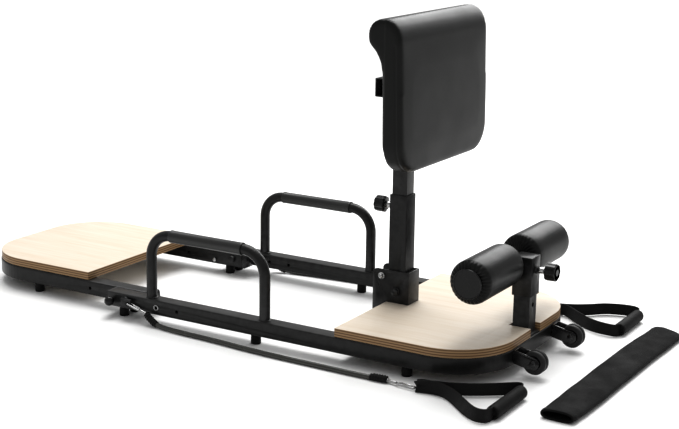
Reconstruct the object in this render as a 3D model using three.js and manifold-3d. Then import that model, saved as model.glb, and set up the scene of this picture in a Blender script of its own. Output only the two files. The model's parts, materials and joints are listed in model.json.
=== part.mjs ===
// A folding home pilates reformer: a floor frame with two plywood standing boards, hand rails, a back
// pad on a folding post, ankle rollers on a short post, transport wheels and two elastic pull bands.
// Millimetres, +X towards the wheels, +Y to the far side, +Z up from the floor.
import * as THREE from 'three';
import { mergeVertices } from 'three/addons/utils/BufferGeometryUtils.js';
import Module from 'manifold-3d';

const wasm = await Module();
wasm.setup();

// ---- driving dimensions -------------------------------------------------------------------------
// The design is drawn about the frame's centreline; the whole group is then moved by these offsets,
// so that the origin is at the middle of the footprint.
const CENTRE_X = -170;
const CENTRE_Y = 8.5;

const GAP = 0.3; // between pieces that touch
const WALL = 2; // steel tube wall

const RAIL = { width: 38, bottom: 24, top: 60 };
const MAIN = { openX: -554, bowX: 444, half: 259, radius: 146 };
const FOOT = { openX: -469, bowX: -1018, half: 220, radius: 148 };
const FOLD = { x: -497, z: 45, boltRadius: 6, stubRadius: 43.5 };
const BOARD = { bottom: RAIL.top + GAP, top: RAIL.top + GAP + 20 };
const STAND_BOARD = { left: 79, right: 443, half: 257, radius: 144, notchX: 390, notchHalf: 26 };
const FOOT_BOARD = { left: -1016, right: -649, half: 216.5, radius: 144 };

const HANDLE = { x0: -433, x1: -113, y: 240, axisZ: 216.5, bend: 57, radius: 12.5, grip: 14.5 };

const POST = { x: 104, size: 43.5, top: 334.5, pivotZ: 108, wall: 2.5 };
const SLIDER = { size: 37, bottom: 150, top: 640, holeFirst: 214.6, holeStep: 30, holes: 7 };
const LUG = { x: 67, z: 141, radius: 7, hole: 4.6 };
const BRACKET = { left: 44, right: 138, top: 157, drop: 36, inner: 22.3, outer: 25.3 };
const BACK_KNOB = { z: 304.6, faceX: 61, length: 25, radius: 19 };
const PAD = { half: 208, bottom: 423, top: 752, corner: 65, rollRadius: 36 };
const CROSSBAR = { x0: 122.8, x1: 154.5, half: 172, bottom: 582, top: 622 };

const ROLLER_POST = { x: 414.5, size: 38, top: 236.4, holeFirst: 127, holeStep: 27, holes: 4 };
const CARRIAGE = { size: 45, inner: 39, bottom: 149, top: 237 };
const ROLLER = { x: 380.5, z: 221, radius: 48, inner: 34, shoulder: 218, outer: 223.5, axle: 12.5 };
const ROLLER_KNOB = { z: 208, faceX: 462, length: 25, radius: 20 };

const WHEEL = { x: 490, y: 105, z: 36.4, radius: 26, width: 24, axle: 4 };
const FOOT_PAD = { radius: 11.8, height: RAIL.bottom - GAP };
const MAIN_FEET_X = [-518, -137, 252];
const FOOT_FRAME_FEET_X = [-518, -823];

const RAIL_HOLE = { radius: 4, mainX: [-407, -347], footX: [-641], z: 42 };
const PLUNGER = { x: -538, z: 40, ball: 11.5, clear: 1.5 };
const BAND = { radius: 5.5 };
const HOOK = { wire: 2.6, width: 9 };
const STRAP = { thickness: 2.6, height: 29, bottom: 1 };
const HANDGRIP = { radius: 14.5, z: 15 };
const SLEEVE = { width: 84, height: 20, wall: 4.5, x0: 624, y0: -310, x1: 636, y1: 338 };

// ---- finishes -----------------------------------------------------------------------------------
const FINISH = {
  steel: { color: 0x17181a, roughness: 0.45, metalness: 0.5 },
  plywood: { color: 0xe3d3b8, roughness: 0.6, metalness: 0 },
  vinyl: { color: 0x1d1e1f, roughness: 0.5, metalness: 0 },
  foam: { color: 0x202122, roughness: 0.85, metalness: 0 },
  rubber: { color: 0x121212, roughness: 0.8, metalness: 0 },
  plastic: { color: 0x161617, roughness: 0.4, metalness: 0 },
  chrome: { color: 0xc8cacc, roughness: 0.2, metalness: 1 },
  webbing: { color: 0x1a1a1a, roughness: 0.9, metalness: 0 },
};

const machine = new THREE.Group();

function place(name, geometry, finish) {
  const mesh = new THREE.Mesh(geometry, new THREE.MeshStandardMaterial(FINISH[finish]));
  mesh.name = name;
  machine.add(mesh);
}

// ---- solid helpers ------------------------------------------------------------------------------
function toSolid(geometry) {
  const bare = geometry.clone();
  bare.deleteAttribute('normal');
  bare.deleteAttribute('uv');
  const merged = mergeVertices(bare, 1e-4);
  const vertProperties = Float32Array.from(merged.attributes.position.array);
  const triVerts = Uint32Array.from(merged.index.array);
  return new wasm.Manifold(new wasm.Mesh({ numProp: 3, vertProperties, triVerts }));
}

function toGeometry(solid) {
  const { vertProperties, triVerts } = solid.getMesh();
  const geometry = new THREE.BufferGeometry();
  geometry.setAttribute('position', new THREE.BufferAttribute(vertProperties, 3));
  geometry.setIndex(new THREE.BufferAttribute(triVerts, 1));
  geometry.computeVertexNormals();
  return geometry;
}

function join(...geometries) {
  return toGeometry(geometries.map(toSolid).reduce((whole, next) => whole.add(next)));
}

function cut(geometry, ...cutters) {
  return toGeometry(cutters.map(toSolid).reduce((whole, next) => whole.subtract(next), toSolid(geometry)));
}

function common(a, b) {
  return toGeometry(toSolid(a).intersect(toSolid(b)));
}

function block(x0, x1, y0, y1, z0, z1) {
  const geometry = new THREE.BoxGeometry(x1 - x0, y1 - y0, z1 - z0);
  return geometry.translate((x0 + x1) / 2, (y0 + y1) / 2, (z0 + z1) / 2);
}

function rodY(radius, y0, y1, x, z, sides = 16) {
  return new THREE.CylinderGeometry(radius, radius, y1 - y0, sides).translate(x, (y0 + y1) / 2, z);
}

function rodX(radius, x0, x1, y, z, sides = 16) {
  const geometry = new THREE.CylinderGeometry(radius, radius, x1 - x0, sides).rotateZ(-Math.PI / 2);
  return geometry.translate((x0 + x1) / 2, y, z);
}

// A solid of revolution about Y; the profile runs as [radius, y] pairs, outside upwards.
function turnedY(profile, x, z, sides = 16) {
  const points = profile.map(([radius, y]) => new THREE.Vector2(radius, y));
  return new THREE.LatheGeometry(points, sides).translate(x, 0, z);
}

// A flat outline in the ground plane, raised from z0 to z1.
function slab(shape, z0, z1, curveSegments = 5) {
  const settings = { depth: z1 - z0, bevelEnabled: false, curveSegments };
  return new THREE.ExtrudeGeometry(shape, settings).translate(0, 0, z0);
}

// An outline drawn as (x, z), carried along Y from y0 to y1.
function sidePlate(shape, y0, y1, curveSegments = 5) {
  const settings = { depth: y1 - y0, bevelEnabled: false, curveSegments };
  return new THREE.ExtrudeGeometry(shape, settings).rotateX(Math.PI / 2).translate(0, y1, 0);
}

function outline(points) {
  return new THREE.Shape(points.map(([a, b]) => new THREE.Vector2(a, b)));
}

// A path through given points whose rings stand exactly on the points.
class PointPath extends THREE.Curve {
  constructor(points) {
    super();
    this.points = points;
  }

  getPoint(t, target = new THREE.Vector3()) {
    const place = t * (this.points.length - 1);
    const index = Math.min(Math.floor(place + 1e-9), this.points.length - 2);
    return target.lerpVectors(this.points[index], this.points[index + 1], place - index);
  }

  getPointAt(u, target) {
    return this.getPoint(u, target);
  }

  getTangentAt(u, target = new THREE.Vector3()) {
    const last = this.points.length - 1;
    const index = Math.round(u * last);
    const before = this.points[Math.max(index - 1, 0)];
    const after = this.points[Math.min(index + 1, last)];
    const here = this.points[index];
    const arriving = here.clone().sub(before).normalize();
    const leaving = after.clone().sub(here).normalize();
    return target.copy(arriving).add(leaving).normalize();
  }
}

// A round tube or rod through the points; the bore is left out for a rod.
function tubeAlong(points, radius, sides, bore = 0) {
  const section = new THREE.Shape().absarc(0, 0, radius, 0, Math.PI * 2, false);
  if (bore > 0) section.holes.push(new THREE.Path().absarc(0, 0, bore, 0, Math.PI * 2, true));
  const extrudePath = new PointPath(points);
  const settings = { steps: points.length - 1, curveSegments: sides / 2, bevelEnabled: false, extrudePath };
  return new THREE.ExtrudeGeometry(section, settings);
}

// ---- steel frames -------------------------------------------------------------------------------
function uOutline(openX, bowX, half, rail, radius) {
  const inner = half - rail;
  const bendX = bowX - radius;
  const bendY = half - radius;
  const shape = new THREE.Shape();
  shape.moveTo(openX, -half);
  shape.lineTo(bendX, -half);
  shape.absarc(bendX, -bendY, radius, -Math.PI / 2, 0, false);
  shape.absarc(bendX, bendY, radius, 0, Math.PI / 2, false);
  shape.lineTo(openX, half);
  shape.lineTo(openX, inner);
  shape.absarc(bendX, bendY, radius - rail, Math.PI / 2, 0, true);
  shape.absarc(bendX, -bendY, radius - rail, 0, -Math.PI / 2, true);
  shape.lineTo(openX, -inner);
  return shape;
}

// A U of square tube with its open ends at x = 0 and its bow at x = length.
function uFrame({ openX, bowX, half, radius }) {
  const length = Math.abs(bowX - openX);
  const outside = uOutline(0, length, half, RAIL.width, radius);
  const inside = uOutline(-1, length - WALL, half - WALL, RAIL.width - 2 * WALL, radius - WALL);
  return cut(slab(outside, RAIL.bottom, RAIL.top), slab(inside, RAIL.bottom + WALL, RAIL.top - WALL));
}

function railBores(half, inset) {
  const radius = FOLD.boltRadius + inset;
  const reach = RAIL.width + 1;
  const near = rodY(radius, -half - 1, -half + reach, FOLD.x, FOLD.z, 24);
  const far = rodY(radius, half - reach, half + 1, FOLD.x, FOLD.z, 24);
  return [near, far];
}

// Spare holes right through both rails.
function spareHoles(half, positions) {
  const middle = half - RAIL.width / 2;
  const reach = RAIL.width / 2 + 1;
  return positions.flatMap((x) => [-middle, middle].map((y) => {
    return rodY(RAIL_HOLE.radius, y - reach, y + reach, x, RAIL_HOLE.z, 12);
  }));
}

function crossTube(x0, half) {
  const outer = block(x0, x0 + RAIL.width, -half, half, RAIL.bottom + GAP, RAIL.top - GAP);
  const bore = block(
    x0 + WALL, x0 + RAIL.width - WALL, -half - 1, half + 1, RAIL.bottom + WALL + GAP, RAIL.top - WALL - GAP,
  );
  return cut(outer, bore);
}

function frameTubes() {
  const plungerHoles = [-1, 1].map((side) => {
    const y = side * (MAIN.half - RAIL.width / 2);
    return rodY(5.3, y - 22, y + 22, PLUNGER.x, PLUNGER.z, 16);
  });
  const main = uFrame(MAIN).translate(MAIN.openX, 0, 0);
  const mainHoles = spareHoles(MAIN.half, RAIL_HOLE.mainX);
  place('main_frame', cut(main, ...railBores(MAIN.half, GAP), ...plungerHoles, ...mainHoles), 'steel');
  const foot = uFrame(FOOT).rotateZ(Math.PI).translate(FOOT.openX, 0, 0);
  const footHoles = spareHoles(FOOT.half, RAIL_HOLE.footX);
  place('foot_frame', cut(foot, ...railBores(FOOT.half, 0.1), ...footHoles), 'steel');
  place('board_crossmember', crossTube(82, MAIN.half - RAIL.width - GAP), 'steel');
  place('foot_crossmember', crossTube(-862, FOOT.half - RAIL.width - GAP), 'steel');
}

function plugBlock(x0, x1, side, half, z0, z1) {
  const y = side * (half - RAIL.width / 2);
  const reach = RAIL.width / 2 - WALL - GAP;
  return block(x0, x1, y - reach, y + reach, z0, z1);
}

// Flat plastic plugs close the main rails; the foot rails end in a cap rounded about the fold bolt.
function tubePlugs() {
  const low = RAIL.bottom + WALL + GAP;
  const high = RAIL.top - WALL - GAP;
  for (const [label, side] of [['near', -1], ['far', 1]]) {
    const face = MAIN.openX - GAP;
    const y = side * (MAIN.half - RAIL.width / 2);
    const cap = block(face - 2.5, face, y - RAIL.width / 2, y + RAIL.width / 2, RAIL.bottom, RAIL.top);
    const tongue = plugBlock(face - 1, face + 8, side, MAIN.half, low, high);
    place(`main_plug_${label}`, join(cap, tongue), 'plastic');

    const stubFace = FOOT.openX + GAP;
    const stubY = side * (FOOT.half - RAIL.width / 2);
    const edges = [stubY - RAIL.width / 2, stubY + RAIL.width / 2];
    const nose = block(stubFace, FOLD.x + 50, ...edges, RAIL.bottom, RAIL.top);
    const round = rodY(FOLD.stubRadius, ...edges, FOLD.x, FOLD.z, 32);
    const plug = plugBlock(stubFace - 14, stubFace + 1, side, FOOT.half, low, high);
    place(`foot_plug_${label}`, join(common(nose, round), plug), 'plastic');
  }
}

function foldHardware() {
  for (const [label, side] of [['near', -1], ['far', 1]]) {
    const shankEnd = FOOT.half - RAIL.width - 8;
    const headFace = MAIN.half + GAP;
    const headEnd = MAIN.half + 6;
    const profile = [[0, shankEnd - 1], [9, shankEnd - 1], [9, shankEnd + 7.5]];
    profile.push([FOLD.boltRadius, shankEnd + 7.5], [FOLD.boltRadius, headFace]);
    profile.push([10, headFace], [10, headEnd], [0, headEnd]);
    const bolt = turnedY(profile, 0, 0, 24);
    if (side < 0) bolt.rotateX(Math.PI);
    bolt.translate(FOLD.x, 0, FOLD.z);
    const tabY = side * (MAIN.half + 8);
    const tab = block(FOLD.x - 8, FOLD.x + 21, tabY - 2.5, tabY + 2.5, FOLD.z - 12, FOLD.z + 7);
    const eye = rodY(5.5, tabY - 4, tabY + 4, FOLD.x + 13, FOLD.z - 4, 12);
    place(`fold_bolt_${label}`, cut(join(bolt, tab), eye), 'steel');

    const ballY = MAIN.half + PLUNGER.clear + PLUNGER.ball;
    const stem = [[0, FOOT.half + 3], [5, FOOT.half + 3], [5, ballY - 9]];
    for (let step = 1; step <= 7; step += 1) {
      const angle = -Math.PI / 3.4 + (step / 7) * (Math.PI / 2 + Math.PI / 3.4);
      stem.push([PLUNGER.ball * Math.cos(angle), ballY + PLUNGER.ball * Math.sin(angle)]);
    }
    stem[stem.length - 1][0] = 0;
    const plunger = turnedY(stem, 0, 0, 16);
    if (side < 0) plunger.rotateX(Math.PI);
    place(`fold_plunger_${label}`, plunger.translate(PLUNGER.x, 0, PLUNGER.z), 'plastic');
  }
}

function rubberFoot(name, x, y) {
  const { radius, height } = FOOT_PAD;
  const profile = [[0, 0], [radius - 1.5, 0], [radius, 1.5], [radius - 0.8, height], [0, height]];
  const foot = turnedY(profile, 0, 0, 16).rotateX(Math.PI / 2);
  place(name, foot.translate(x, y, 0), 'rubber');
}

function rubberFeet() {
  for (const [label, side] of [['near', -1], ['far', 1]]) {
    MAIN_FEET_X.forEach((x, index) => {
      rubberFoot(`main_foot_${label}_${index + 1}`, x, side * (MAIN.half - RAIL.width / 2));
    });
    FOOT_FRAME_FEET_X.forEach((x, index) => {
      rubberFoot(`foot_frame_foot_${label}_${index + 1}`, x, side * (FOOT.half - RAIL.width / 2));
    });
  }
}

// ---- plywood boards -----------------------------------------------------------------------------
// A board with two square corners at x = 0 and two large round ones at x = length.
function boardOutline(length, half, radius) {
  const shape = new THREE.Shape();
  shape.moveTo(0, -half);
  shape.lineTo(length - radius, -half);
  shape.absarc(length - radius, -half + radius, radius, -Math.PI / 2, 0, false);
  shape.absarc(length - radius, half - radius, radius, 0, Math.PI / 2, false);
  shape.lineTo(0, half);
  return shape;
}

function boards() {
  const stand = STAND_BOARD;
  const plan = boardOutline(stand.right - stand.left, stand.half, stand.radius);
  const standing = slab(plan, BOARD.bottom, BOARD.top, 6).translate(stand.left, 0, 0);
  const notch = block(stand.notchX, stand.right + 1, -stand.notchHalf, stand.notchHalf, 50, 90);
  place('standing_board', cut(standing, notch), 'plywood');

  const foot = FOOT_BOARD;
  const footPlan = boardOutline(foot.right - foot.left, foot.half, foot.radius);
  const footBoard = slab(footPlan, BOARD.bottom, BOARD.top, 6).rotateZ(Math.PI);
  place('foot_board', footBoard.translate(foot.right, 0, 0), 'plywood');
}

// ---- side handles -------------------------------------------------------------------------------
function handlePoints(y) {
  const { x0, x1, axisZ, bend } = HANDLE;
  const points = [new THREE.Vector3(x0, y, RAIL.top + GAP)];
  const steps = 6;
  for (const [centreX, start] of [[x0 + bend, Math.PI], [x1 - bend, Math.PI / 2]]) {
    for (let step = 0; step <= steps; step += 1) {
      const angle = start - (step / steps) * (Math.PI / 2);
      const x = centreX + bend * Math.cos(angle);
      points.push(new THREE.Vector3(x, y, axisZ - bend + bend * Math.sin(angle)));
    }
  }
  points.push(new THREE.Vector3(x1, y, RAIL.top + GAP));
  return points;
}

function sideHandles() {
  const { x0, x1, y, axisZ, bend, radius, grip } = HANDLE;
  for (const [label, side] of [['near', -1], ['far', 1]]) {
    place(`handle_tube_${label}`, tubeAlong(handlePoints(side * y), radius, 12, radius - WALL), 'steel');
    const bore = radius + GAP;
    const half = (x1 - x0) / 2 - bend - 2;
    const profile = [[bore, -half], [grip, -half], [grip, half], [bore, half], [bore, -half]];
    const foam = turnedY(profile, 0, 0, 16).rotateZ(-Math.PI / 2);
    place(`handle_grip_${label}`, foam.translate((x0 + x1) / 2, side * y, axisZ), 'foam');
  }
}

// ---- back post ----------------------------------------------------------------------------------
function bracketSide(y0, y1) {
  const { left, right, top, drop } = BRACKET;
  const shape = new THREE.Shape();
  shape.moveTo(left, drop);
  shape.lineTo(STAND_BOARD.left - 1, drop);
  shape.lineTo(STAND_BOARD.left - 1, BOARD.top + GAP);
  shape.lineTo(right, BOARD.top + GAP);
  shape.lineTo(right, top);
  shape.lineTo(left + 12, top);
  shape.absarc(left + 12, top - 12, 12, Math.PI / 2, Math.PI, false);
  return sidePlate(shape, y0, y1, 3);
}

function postBracket() {
  const { left, right, inner, outer, top, drop } = BRACKET;
  const floor = BOARD.top + GAP;
  const boardEdge = STAND_BOARD.left - 1;
  const stopX = POST.x + POST.size / 2 + GAP;
  const parts = [
    bracketSide(-outer, -inner),
    bracketSide(inner, outer),
    block(right - 4, right, -outer, outer, floor, top),
    block(boardEdge + 1, right, -outer, outer, floor, floor + 3.5),
    block(boardEdge - 4, boardEdge, -outer, outer, drop, RAIL.top - 1),
    block(stopX, right - 1, -15, 15, top - 20, top - 2),
  ];
  const pivot = rodY(6.3, -outer - 1, outer + 1, POST.x, POST.pivotZ, 24);
  const pinHole = rodY(LUG.hole, -outer - 1, -inner + 1, LUG.x, LUG.z, 16);
  const clipHole = rodY(2, -outer - 1, -inner + 1, left + 17, 118, 8);
  place('post_bracket', cut(join(...parts), pivot, pinHole, clipHole), 'steel');
}

function postPivotBolt() {
  const { outer } = BRACKET;
  const head = outer + GAP;
  const profile = [[0, -head - 6], [9.5, -head - 6], [9.5, -head], [6, -head]];
  profile.push([6, head], [9.5, head], [9.5, head + 7], [0, head + 7]);
  place('post_pivot_bolt', turnedY(profile, POST.x, POST.pivotZ, 24), 'steel');
}

// The lower post: a square tube whose foot is rounded about the pivot, with a locking lug.
function postTube() {
  const half = POST.size / 2;
  const bore = half - POST.wall;
  const lowest = POST.pivotZ - half;
  const tube = cut(
    block(POST.x - half, POST.x + half, -half, half, lowest, POST.top),
    block(POST.x - bore, POST.x + bore, -bore, bore, lowest - 1, POST.top + 1),
  );
  const upper = block(POST.x - half - 1, POST.x + half + 1, -half - 1, half + 1, POST.pivotZ, POST.top + 1);
  const ears = rodY(half, -half - 1, half + 1, POST.x, POST.pivotZ, 48);
  const lugShape = new THREE.Shape();
  const faceX = POST.x - half;
  lugShape.moveTo(faceX, POST.pivotZ + 28);
  lugShape.lineTo(faceX, POST.pivotZ + 46);
  lugShape.absarc(LUG.x, LUG.z, LUG.radius, Math.PI / 2, Math.PI * 1.5, false);
  const lug = sidePlate(lugShape, -half, half, 4);
  const boss = rodX(9, faceX - 8, faceX + 0.5, 0, BACK_KNOB.z, 16);
  const body = join(common(tube, join(upper, ears)), lug, boss);
  const pivot = rodY(6.11, -half - 1, half + 1, POST.x, POST.pivotZ, 24);
  const pinHole = rodY(LUG.hole, -half - 1, half + 1, LUG.x, LUG.z, 16);
  const knobHole = rodX(5.3, faceX - 9, faceX + POST.wall + 1, 0, BACK_KNOB.z, 16);
  place('post_tube', cut(body, pivot, pinHole, knobHole), 'steel');
}

// The sliding post: closed at the top, with a row of adjusting holes that face the knob.
function sliderTube() {
  const half = SLIDER.size / 2;
  const bore = half - WALL;
  const holes = [];
  for (let index = 0; index < SLIDER.holes; index += 1) {
    const z = SLIDER.holeFirst + index * SLIDER.holeStep;
    holes.push(rodX(5.3, POST.x - half - 1, POST.x - half + WALL + 1, 0, z, 12));
  }
  const outer = block(POST.x - half, POST.x + half, -half, half, SLIDER.bottom, SLIDER.top);
  const hollow = block(POST.x - bore, POST.x + bore, -bore, bore, SLIDER.bottom - 1, SLIDER.top - 3);
  place('slider_tube', cut(outer, hollow, ...holes), 'steel');
}

function crossbar() {
  const { x0, x1, half, bottom, top } = CROSSBAR;
  const outer = block(x0, x1, -half, half, bottom, top);
  const hollow = block(x0 + WALL, x1 - WALL, -half - 1, half + 1, bottom + WALL, top - WALL);
  place('pad_crossbar', cut(outer, hollow), 'steel');
}

// The pad's side outline: a leaning slab whose top rolls back over a bolster.
function padProfile() {
  const shape = new THREE.Shape();
  shape.moveTo(166, PAD.bottom);
  shape.lineTo(203, PAD.bottom);
  shape.quadraticCurveTo(210, PAD.bottom, 210, PAD.bottom + 8);
  shape.lineTo(202, 695);
  shape.bezierCurveTo(201, 727, 186, PAD.top, 158, PAD.top);
  shape.absarc(156, PAD.top - PAD.rollRadius, PAD.rollRadius, Math.PI / 2, Math.PI * 1.2, false);
  shape.quadraticCurveTo(154.5, 672, 155.3, 640);
  shape.lineTo(161, PAD.bottom + 6);
  return shape;
}

function backPad() {
  const front = new THREE.Shape();
  const { half, bottom, top, corner } = PAD;
  front.moveTo(half, top + 5);
  front.lineTo(-half, top + 5);
  front.absarc(-half + corner, bottom + corner, corner, Math.PI, Math.PI * 1.5, false);
  front.absarc(half - corner, bottom + corner, corner, Math.PI * 1.5, Math.PI * 2, false);
  const settings = { depth: 140, bevelEnabled: false, curveSegments: 6 };
  const silhouette = new THREE.ExtrudeGeometry(front, settings);
  silhouette.rotateX(Math.PI / 2).rotateZ(Math.PI / 2).translate(100, 0, 0);
  place('back_pad', common(sidePlate(padProfile(), -half - 1, half + 1, 6), silhouette), 'vinyl');
}

// A fluted knob head along X with its pin, centred on the axis.
function pullKnob(faceX, direction, length, radius, pinTip, z) {
  const lobes = 8;
  const points = [];
  for (let step = 0; step < lobes * 4; step += 1) {
    const angle = (step / (lobes * 4)) * Math.PI * 2;
    const reach = radius - 1.2 + 1.2 * Math.cos(lobes * angle);
    points.push([reach * Math.cos(angle), reach * Math.sin(angle)]);
  }
  const settings = { depth: length, bevelEnabled: false };
  const head = new THREE.ExtrudeGeometry(outline(points), settings).rotateY(Math.PI / 2);
  head.translate(direction > 0 ? faceX : faceX - length, 0, z);
  const ends = [faceX + direction, pinTip].sort((a, b) => a - b);
  return join(head, rodX(5, ends[0], ends[1], 0, z, 16));
}

function backControls() {
  const tip = POST.x - POST.size / 2 + POST.wall - 0.5;
  const { faceX, length, radius, z } = BACK_KNOB;
  place('back_knob', pullKnob(faceX, -1, length, radius, tip, z), 'plastic');
  const { inner, outer } = BRACKET;
  const profile = [[0, -outer - 9], [7, -outer - 9], [7, -outer - GAP], [4, -outer - GAP]];
  profile.push([4, -inner - GAP], [0, -inner - GAP]);
  place('post_lock_pin', turnedY(profile, LUG.x, LUG.z, 16), 'chrome');
}

// ---- ankle rollers ------------------------------------------------------------------------------
function rollerPost() {
  const { x, size, top, holeFirst, holeStep, holes } = ROLLER_POST;
  const half = size / 2;
  const floor = RAIL.top + GAP;
  const tube = cut(
    block(x - half, x + half, -half, half, floor, top),
    block(x - half + WALL, x + half - WALL, -half + WALL, half - WALL, floor - 1, top - 3),
  );
  const foot = block(x - half - 5, STAND_BOARD.right - 2, -half - 5, half + 5, floor, floor + 4);
  const cavity = block(x - half + WALL, x + half - WALL, -half + WALL, half - WALL, floor - 1, floor + 5);
  const bores = [];
  for (let index = 0; index < holes; index += 1) {
    bores.push(rodX(5.3, x + half - WALL - 1, x + half + 1, 0, holeFirst + index * holeStep, 12));
  }
  place('roller_post', cut(join(tube, foot), cavity, ...bores), 'steel');
}

function rollerCarriage() {
  const { size, inner, bottom, top } = CARRIAGE;
  const half = size / 2;
  const bore = inner / 2;
  const { x } = ROLLER_POST;
  const collar = join(
    block(x - half, x + half, -half, half, bottom, top),
    block(ROLLER.x, x - half + 1, -20, 20, ROLLER.z - 10, ROLLER.z + 10),
    rodY(ROLLER.axle, -ROLLER.outer + 1, ROLLER.outer - 1, ROLLER.x, ROLLER.z, 24),
    rodX(9, x + half - 1, x + half + 5, 0, ROLLER_KNOB.z, 16),
  );
  const hollow = block(x - bore, x + bore, -bore, bore, bottom - 1, top + 1);
  const knobHole = rodX(5.3, x + bore - 1, x + half + 6, 0, ROLLER_KNOB.z, 16);
  place('roller_carriage', cut(collar, hollow, knobHole), 'steel');
}

function ankleRollers() {
  const bore = ROLLER.axle + 0.22;
  const { inner, shoulder, outer, radius } = ROLLER;
  const half = [[bore, inner], [radius - 13, inner], [radius - 5, inner + 2.5], [radius - 1, inner + 8]];
  half.push([radius, inner + 15], [radius, shoulder - 12], [radius - 1.5, shoulder - 5]);
  half.push([radius - 6, shoulder + 1], [radius - 14, outer], [bore, outer], [bore, inner]);
  const cap = [[0, outer + GAP], [32.5, outer + GAP], [32.5, outer + 3], [30.5, outer + 5], [0, outer + 5]];
  for (const [label, side] of [['near', -1], ['far', 1]]) {
    const foam = turnedY(half, 0, 0, 24);
    const disc = turnedY(cap, 0, 0, 24);
    if (side < 0) [foam, disc].forEach((piece) => piece.rotateX(Math.PI));
    place(`roller_${label}`, foam.translate(ROLLER.x, 0, ROLLER.z), 'vinyl');
    place(`roller_cap_${label}`, disc.translate(ROLLER.x, 0, ROLLER.z), 'plastic');
  }
  const { faceX, length, z } = ROLLER_KNOB;
  const tip = ROLLER_POST.x + CARRIAGE.inner / 2 + 0.6;
  place('roller_knob', pullKnob(faceX, 1, length, ROLLER_KNOB.radius, tip, z), 'plastic');
}

// ---- transport wheels ---------------------------------------------------------------------------
function wheelBracket(centreY) {
  const { x, z, width, axle } = WHEEL;
  const rootX = MAIN.bowX + GAP;
  const cheek = new THREE.Shape();
  cheek.moveTo(rootX, 30);
  cheek.lineTo(x - 12, 23);
  cheek.absarc(x, z, 14, -Math.PI * 0.65, Math.PI * 0.4, false);
  cheek.lineTo(rootX + 6, 59);
  cheek.lineTo(rootX, 59);
  const inner = width / 2 + 1.2;
  const parts = [
    sidePlate(cheek, centreY - inner - 3, centreY - inner, 5),
    sidePlate(cheek, centreY + inner, centreY + inner + 3, 5),
    block(rootX, rootX + 4, centreY - inner - 3, centreY + inner + 3, 30, 59),
  ];
  return cut(join(...parts), rodY(axle + GAP, centreY - 30, centreY + 30, x, z, 16));
}

function transportWheels() {
  const { x, z, radius, width, axle } = WHEEL;
  const bore = axle + 0.14;
  const edge = width / 2;
  for (const [label, side] of [['near', -1], ['far', 1]]) {
    const centreY = side * WHEEL.y;
    place(`wheel_bracket_${label}`, wheelBracket(centreY), 'steel');
    const rim = [[bore, -edge], [radius - 2.5, -edge], [radius, -edge + 3], [radius, edge - 3]];
    rim.push([radius - 2.5, edge], [bore, edge], [bore, -edge]);
    place(`wheel_${label}`, turnedY(rim, x, z, 24).translate(0, centreY, 0), 'rubber');
    const face = edge + 4.2 + GAP;
    const bolt = [[0, -face - 3], [7, -face - 3], [7, -face], [axle, -face]];
    bolt.push([axle, face], [7, face], [7, face + 4], [0, face + 4]);
    place(`wheel_bolt_${label}`, turnedY(bolt, x, z, 16).translate(0, centreY, 0), 'steel');
  }
}

// ---- pull bands ---------------------------------------------------------------------------------
// Each route is chosen by hand: from the hook at the fold bolt down to the floor and along the rail.
const BAND_ROUTES = {
  near: [
    [-427, -271, 27], [-413, -273, 17], [-396, -276, 9], [-372, -280, 6.3], [-345, -283.5, 6],
    [-316, -286, 6], [-288, -287.5, 6], [-260, -288.5, 6], [-232, -290, 6], [-204, -292, 6],
    [-176, -294.5, 6], [-148, -297, 6], [-120, -299.2, 6], [-92, -301, 6], [-64, -302.3, 6],
    [-36, -303.2, 6], [-8, -303.8, 6], [20, -304.2, 6], [48, -304.5, 6], [76, -304.8, 6], [104, -305.2, 6],
    [132, -305.6, 6], [160, -305.9, 6], [188, -305.8, 6], [216, -305, 6], [240, -303.5, 6.5],
  ],
  far: [
    [-427, 271, 27], [-413, 273, 17], [-396, 276, 9], [-372, 280, 6.3], [-345, 284, 6], [-316, 287.5, 6],
    [-288, 290.5, 6], [-260, 293, 6], [-232, 295.2, 6], [-204, 297.2, 6], [-176, 299, 6], [-148, 300.6, 6],
    [-120, 302.2, 6], [-92, 303.7, 6], [-64, 305.2, 6], [-36, 306.8, 6], [-8, 308.4, 6], [20, 310.2, 6],
    [48, 312.2, 6], [76, 314.4, 6], [104, 316.8, 6], [132, 319.4, 6], [160, 322, 6], [188, 324.8, 6],
    [216, 327.8, 6], [244, 331, 6], [270, 334, 6.5],
  ],
};

// A long oval link of round wire between two points, lying in the plane that holds acrossAxis.
function link(from, to, acrossAxis) {
  const along = to.clone().sub(from);
  const length = along.length();
  along.normalize();
  const across = acrossAxis.clone().addScaledVector(along, -acrossAxis.dot(along)).normalize();
  const normal = new THREE.Vector3().crossVectors(along, across);
  const loop = new THREE.TorusGeometry(HOOK.width - HOOK.wire, HOOK.wire, 8, 16);
  const stretch = length / 2 - HOOK.width;
  const position = loop.attributes.position;
  for (let index = 0; index < position.count; index += 1) {
    const x = position.getX(index);
    if (Math.abs(x) > 0.01) position.setX(index, x + Math.sign(x) * stretch);
  }
  const turn = new THREE.Matrix4().makeBasis(along, across, normal);
  turn.setPosition(from.clone().add(to).multiplyScalar(0.5));
  return loop.applyMatrix4(turn);
}

// One strand of webbing that stands on edge along a line of (x, y) points.
function strandOutline(points) {
  const half = STRAP.thickness / 2;
  const outer = [];
  const inner = [];
  const line = points.map(([x, y]) => new THREE.Vector2(x, y));
  line.forEach((point, index) => {
    const before = line[Math.max(index - 1, 0)];
    const after = line[Math.min(index + 1, line.length - 1)];
    const along = after.clone().sub(before).normalize();
    const side = new THREE.Vector2(-along.y, along.x).multiplyScalar(half);
    outer.push(point.clone().add(side));
    inner.unshift(point.clone().sub(side));
  });
  return new THREE.Shape([...outer, ...inner]);
}

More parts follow.
